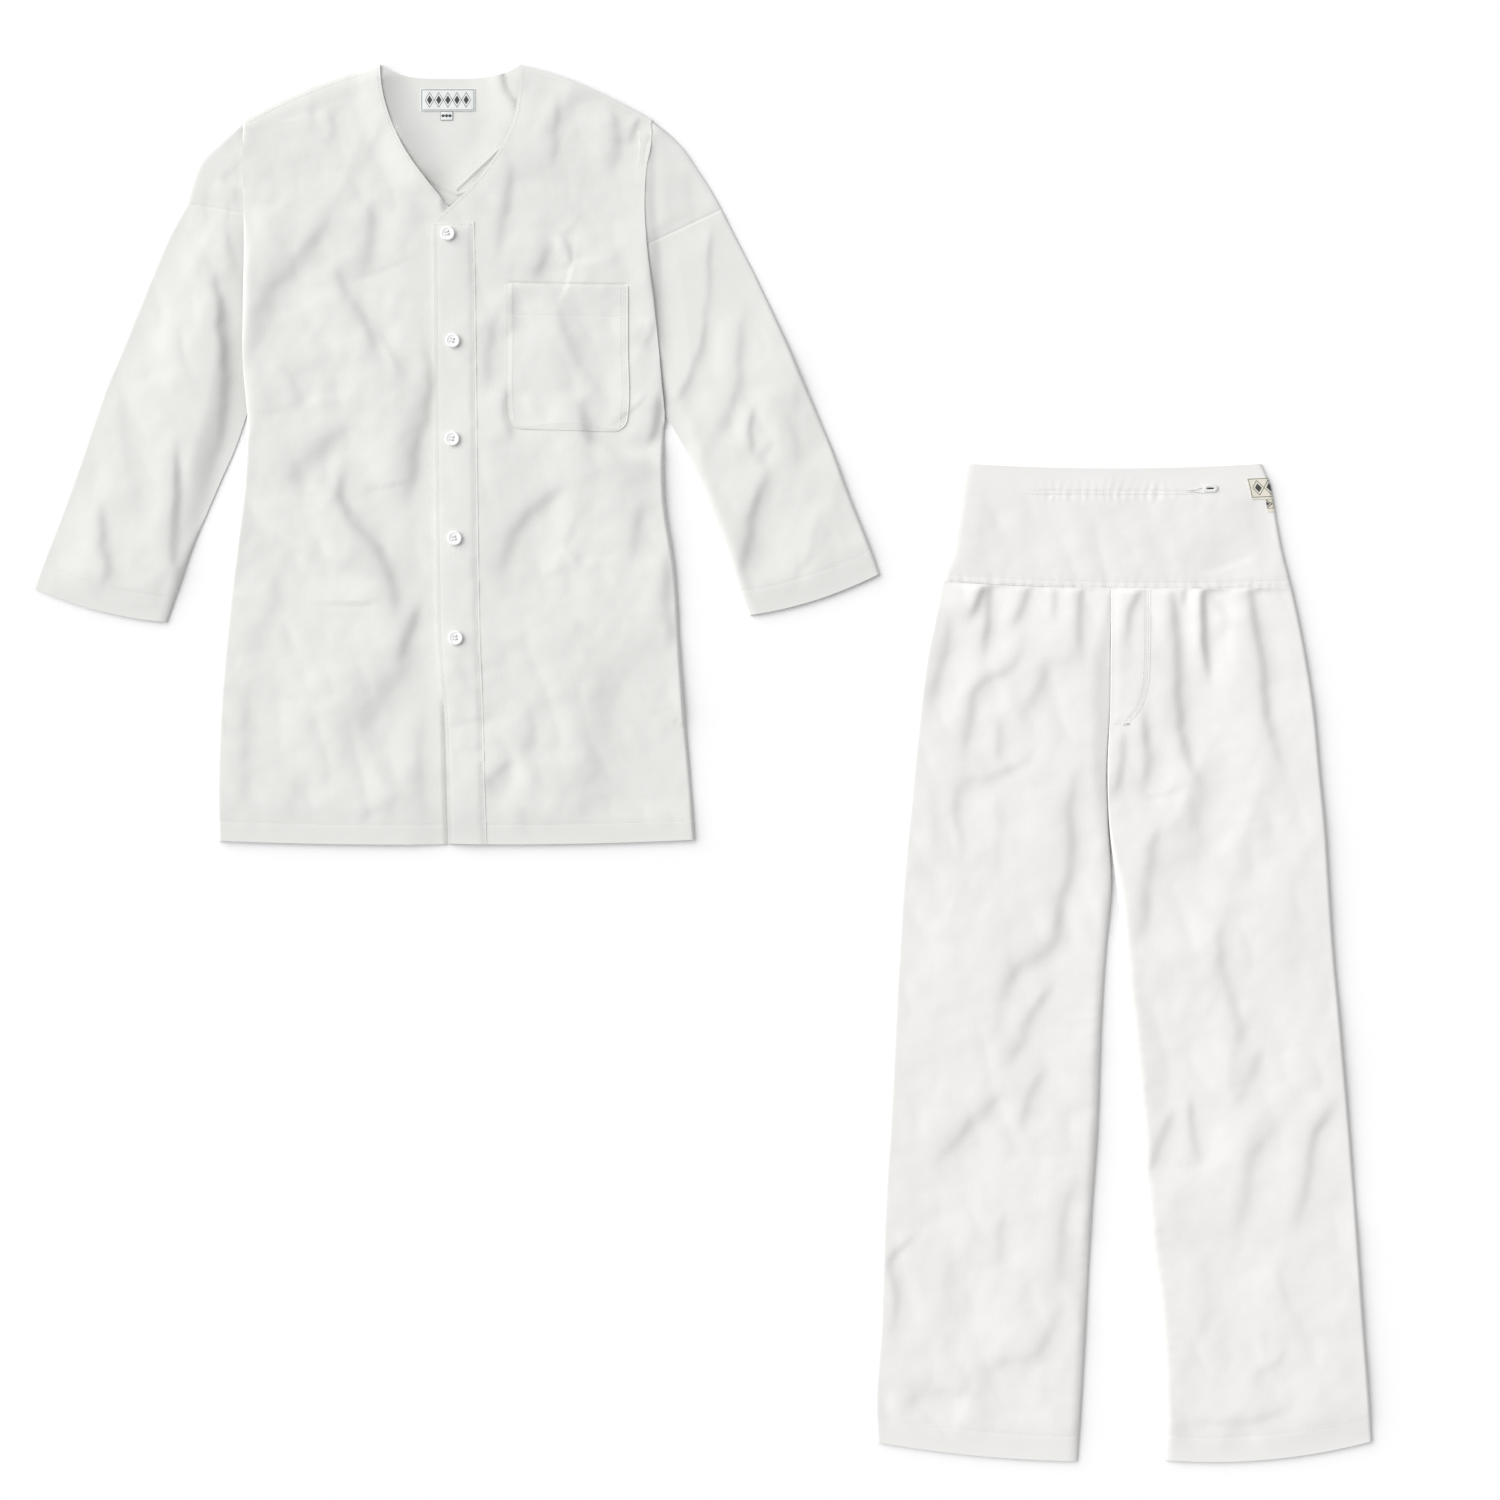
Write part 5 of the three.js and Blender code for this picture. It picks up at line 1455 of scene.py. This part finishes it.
def lathe(profile, sides):
    """Vertices and faces of a profile turned about the z axis, closed at both poles."""
    angles = np.arange(sides) * 2 * math.pi / sides
    vertices = [(0, 0, profile[0][1])]
    for radius, z in profile[1:-1]:
        vertices += [(radius * math.cos(a), radius * math.sin(a), z) for a in angles]
    vertices.append((0, 0, profile[-1][1]))
    return vertices, round_faces(len(profile) - 2, sides)


def drilled_button():
    """The button's mesh, with its four holes cut through."""
    disc = mesh_object("button_blank", *lathe(BUTTON_PROFILE, BUTTON["sides"]), white_plastic)
    points, faces = lathe([(0, -1), (BUTTON["hole"], -1), (BUTTON["hole"], 4), (0, 4)], 16)
    drills = [(np.add(points, (x, y, 0)), faces) for x, y in HOLES]
    drill = mesh_object("button_drill", *joined(drills), white_plastic)
    cut = disc.modifiers.new("holes", "BOOLEAN")
    cut.operation, cut.solver, cut.object = "DIFFERENCE", "EXACT", drill
    bpy.context.view_layer.update()
    mesh = bpy.data.meshes.new_from_object(disc.evaluated_get(bpy.context.evaluated_depsgraph_get()))
    for spare in (disc, drill):
        bpy.data.objects.remove(spare)
    return mesh


def strand(points, radius, sides=6):
    """Vertices and faces of a round thread along points, closed to a tip at both ends."""
    points = np.asarray(points, float)
    along = np.gradient(points, axis=0)
    along /= np.linalg.norm(along, axis=1, keepdims=True)
    side = np.cross(along, (0, 0, 1))
    side /= np.maximum(np.linalg.norm(side, axis=1, keepdims=True), 1e-9)
    up = np.cross(side, along)
    turn = np.arange(sides) * 2 * np.pi / sides
    rings = [
        points[k] + radius * (np.cos(turn)[:, None] * side[k] + np.sin(turn)[:, None] * up[k])
        for k in range(1, len(points) - 1)
    ]
    return np.vstack([points[:1], *rings, points[-1:]]), round_faces(len(rings), sides)


def joined(parts):
    """One list of vertices and one of faces from several."""
    vertices, faces = [], []
    for points, sides in parts:
        start = sum(len(v) for v in vertices)
        vertices.append(np.asarray(points, float))
        faces += [[start + k for k in face] for face in sides]
    return np.vstack(vertices), faces


def button_threads():
    """Two pairs of threads that cross the button's face from hole to hole, and the shank under it."""
    p, face = BUTTON["pitch"], BUTTON["thick"]
    parts = []
    for y in (-p, p):
        for shift in (-0.28, 0.28):
            line = [(-p - 0.1, y + shift, 0.4), (-p, y + shift, face)]
            line += [(-p * 0.6, y + shift * 1.2, face + 0.34), (0, y + shift * 1.3, face + 0.4)]
            line += [(-x, y, z) for x, y, z in reversed(line[:-1])]
            parts.append(strand(line, 0.3))
    for x, y in HOLES:
        parts.append(strand([(x, y, -0.9), (x, y + 0.05, -0.4), (x, y, 0.2), (x, y - 0.05, 0.8)], 0.5))
    return parts


white_plastic = button_plastic("button_white")
button_mesh = drilled_button()
for number, (x, y) in enumerate(BUTTON_PLACES, 1):
    turned = np.random.default_rng(100 + number).uniform(-0.35, 0.35)
    at = on_table(x, y, float(on_front(np.array([x]), np.array([y]))[0]) + CLOTH + 0.9)
    button = bpy.data.objects.new(f"sewn_button_{number}", button_mesh.copy())
    cosine, sine = math.cos(turned), math.sin(turned)
    rotated = np.array([[cosine, -sine, 0], [sine, cosine, 0], [0, 0, 1]])
    corners = np.empty(len(button.data.vertices) * 3)
    button.data.vertices.foreach_get("co", corners)
    button.data.vertices.foreach_set("co", (corners.reshape(-1, 3) @ rotated.T + at * MM).ravel())
    bpy.context.scene.collection.objects.link(button)
    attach(button, "root")
    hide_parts(f"button_{number}")
    vertices, faces = joined(button_threads())
    thread = mesh_object(f"button_thread_{number}", vertices @ rotated.T + at, faces, white_thread)


# The stitching
# White lockstitch in polyester thread: edges of the placket, the pocket, the neck and its facings, the hems,
# the shoulder seams, two rows at the waist seam, the casing with two loose ends, and the fly's curve and bar.

STITCH = {"length": 2.5, "gap": 0.75, "radius": 0.2, "rise": 0.14, "drift": 0.12}
LOOSE_ENDS = (
    [(1184, 490.4), (1190, 490), (1196, 489.2), (1201, 487.6), (1205.4, 487)],
    [(1188, 491.6), (1193, 491.4), (1199, 492.2), (1204, 492.6), (1208, 491.4)],
)
NECK_STITCH, SHOULDER_STITCH, FLY_STITCH = 3.4, 6.5, 2.4
WAIST_STITCHES = (1.6, 7.4)


def crossing(values, points, distance):
    """Where each row of a grid reaches a distance, by its values."""
    line = []
    for along, at in zip(values, points):
        order = np.argsort(along)
        line.append([np.interp(distance, along[order], at[order, k]) for k in range(3)])
    return np.array(line)


def along_column(laid, points, measure, distance):
    """The line across a grid's rows that keeps one distance from an edge."""
    return crossing(getattr(laid, measure), points, distance)


def along_row(laid, points, measure, distance):
    """The line across a grid's columns that keeps one distance from its first or last row."""
    return crossing(getattr(laid, measure).T, points.transpose(1, 0, 2), distance)


def passed_along(line):
    """How far along a line each of its points lies."""
    return np.concatenate([[0], np.cumsum(np.linalg.norm(np.diff(line, axis=0), axis=1))])


def stitches_on(line, seed):
    """Short threads end to end along a line, each sinking into the cloth at both tips."""
    line = np.asarray(line, float)
    passed = passed_along(line)
    pitch = STITCH["length"] + STITCH["gap"]
    count = int(passed[-1] / pitch)
    drift = np.random.default_rng(seed).uniform(-STITCH["drift"], STITCH["drift"], (max(count, 1), 2))
    parts = []
    for k in range(count):
        start = k * pitch + 0.3
        stops = start + STITCH["length"] * np.array([0, 0.2, 0.5, 0.8, 1])
        at = np.stack([np.interp(stops, passed, line[:, axis]) for axis in range(3)], axis=1)
        at[:, 2] += STITCH["rise"] * np.array([-1.6, 0.8, 1, 0.8, -1.6])
        at[:, :2] += drift[k]
        parts.append(strand(at, STITCH["radius"], 4))
    return parts


def sew(name, lines):
    parts = []
    for k, line in enumerate(lines):
        parts += stitches_on(line, 500 + 7 * k)
    mesh_object(name, *joined(parts), white_thread)


def trimmed(line, start, end):
    """A line without so many mm at its ends."""
    passed = passed_along(line)
    return line[(passed >= start) & (passed <= passed[-1] - end)]


def pocket_line(inset):
    """Down one side of the pocket, round its lower corners and up the other side."""
    down = along_column(pocket, pocket_points, "first", inset)
    up = along_column(pocket, pocket_points, "second", inset)[::-1]
    bottom = along_row(pocket, pocket_points, "last", inset)
    keep = (down[:, 1] > bottom[:, 1].max() + 1), (up[:, 1] > bottom[:, 1].max() + 1)
    return np.vstack([down[keep[0]], bottom[2:-2], up[keep[1]]])


sew("placket_stitches", [
    along_column(placket, placket_points, "first", STITCH_IN),
    along_column(placket, placket_points, "second", STITCH_IN),
    along_row(placket, placket_points, "last", STITCH_IN),
])
sew("pocket_stitches", [
    pocket_line(STITCH_IN),
    pocket_line(STITCH_IN + 5),
    trimmed(along_row(pocket, pocket_points, "start", POCKET["mouth"]), 3, 3),
])
sew("shirt_hem_stitches", [
    trimmed(along_row(right, right_points, "start", HEM_DEPTH), 8, 40),
    trimmed(along_row(left, left_points, "start", HEM_DEPTH), 42, 8),
])
sew("cuff_stitches", [
    trimmed(along_row(*grid, "last", CUFF_HEM), 8, 8) for grid in (sleeve_right, sleeve_left)
])
sew("neck_stitches", [
    trimmed(along_column(right, right_points, "second", NECK_STITCH)[-115:], 0, 2),
    trimmed(along_column(left, left_points, "first", NECK_STITCH)[-80:], 0, 2),
    along_column(*facing_right, "first", FACING_STITCH),
    along_column(*facing_left, "first", FACING_STITCH),
])
sew("shoulder_stitches", [
    trimmed(along_row(right, right_points, "last", SHOULDER_STITCH), 6, 6),
    trimmed(along_row(left, left_points, "last", SHOULDER_STITCH), 6, 6),
])
sew("waist_stitches", [
    trimmed(along_row(band_over, band_outer[:, -band_over.x.shape[1]:], "last", distance), 5, 3)
    for distance in WAIST_STITCHES
])
casing_x = np.arange(CASING["left"], CASING["right"] + 12, 1.5)
sew("casing_stitches", [
    on_table(casing_x, np.full(casing_x.shape, row), band_face(casing_x, np.full(casing_x.shape, row)) - 0.2)
    for row in CASING["rows"]
])
for number, path in enumerate(LOOSE_ENDS, 1):
    end_x, end_y = soft_line(path).T
    lying = on_table(end_x, end_y, band_face(end_x, end_y) + 0.3)
    mesh_object(f"thread_end_{number}", *strand(lying, 0.32), white_thread)
sew("trouser_hem_stitches", [
    trimmed(along_row(*grid, "last", TROUSER_HEM), 6, 6) for grid in (right_leg, left_leg)
])
fly_curve = along_column(fly, fly_points, "second", FLY_STITCH)
sew("fly_stitches", [fly_curve, along_column(fly, fly_points, "second", FLY_STITCH + 4)])
bar_stitch = np.array([(-4, 0, 0.1), (-3.6, 0, 0.3), (0, 0.1, 0.42), (3.6, 0, 0.3), (4, 0, 0.1)])
bar = [strand(fly_curve[-1] + bar_stitch + (0, dy, 0), 0.22, 5) for dy in (-0.9, -0.45, 0, 0.45, 0.9)]
mesh_object("fly_bartack", *joined(bar), white_thread)


# The table, the light and the camera
# A white table under broad soft light that comes low from the upper left, with the camera straight above.

def table_paint(name):
    shader = Shader(name)
    place = shader.node("TexCoord", output="Object")
    grain = shader.noise(place, 60, 3)
    tone = shader.blend(grain, (0.965, 0.965, 0.965, 1), (0.985, 0.985, 0.985, 1))
    return shader.surfaced({"Base Color": tone, "Roughness": 0.9, "Specular IOR Level": 0.1})


def table_top():
    side = 9000
    corners = [(-side, -side, 0), (side, -side, 0), (side, side, 0), (-side, side, 0)]
    mesh = bpy.data.meshes.new("table_top")
    mesh.from_pydata((np.array(corners) * MM).tolist(), [], [[0, 1, 2, 3]])
    mesh.materials.append(table_paint("table_white"))
    table = bpy.data.objects.new("table_top", mesh)
    bpy.context.scene.collection.objects.link(table)


table_top()

KEY_FROM = (-0.84, 0.42, 0.6)
KEY_STRENGTH = 3.35
SKY_STRENGTH = 0.465
key_data = bpy.data.lights.new("window", "SUN")
key_data.energy, key_data.angle = KEY_STRENGTH, 1.1
key = bpy.data.objects.new("window", key_data)
tilt = math.acos(KEY_FROM[2] / math.dist((0, 0, 0), KEY_FROM))
key.rotation_euler = (tilt, 0, math.atan2(KEY_FROM[1], KEY_FROM[0]) + math.pi / 2)
bpy.context.scene.collection.objects.link(key)
world = bpy.data.worlds.new("room")
world.use_nodes = True
sky = world.node_tree.nodes["Background"].inputs
sky["Color"].default_value = (0.985, 0.99, 1, 1)
sky["Strength"].default_value = SKY_STRENGTH
bpy.context.scene.world = world
bpy.context.scene.view_settings.view_transform = "Standard"

LENS, SENSOR, FRAME_SIDE, FOCUS_HEIGHT = 85, 36, 1.5, 0.006
HALF_FRAME = 750
camera_data = bpy.data.cameras.new("overhead")
camera_data.lens, camera_data.sensor_width = LENS, SENSOR
camera = bpy.data.objects.new("overhead", camera_data)
camera.location = (
    (TABLE["left"] + HALF_FRAME) * MM,
    (TABLE["far"] - HALF_FRAME) * MM,
    FRAME_SIDE * LENS / SENSOR + FOCUS_HEIGHT,
)
bpy.context.scene.collection.objects.link(camera)
bpy.context.scene.camera = camera
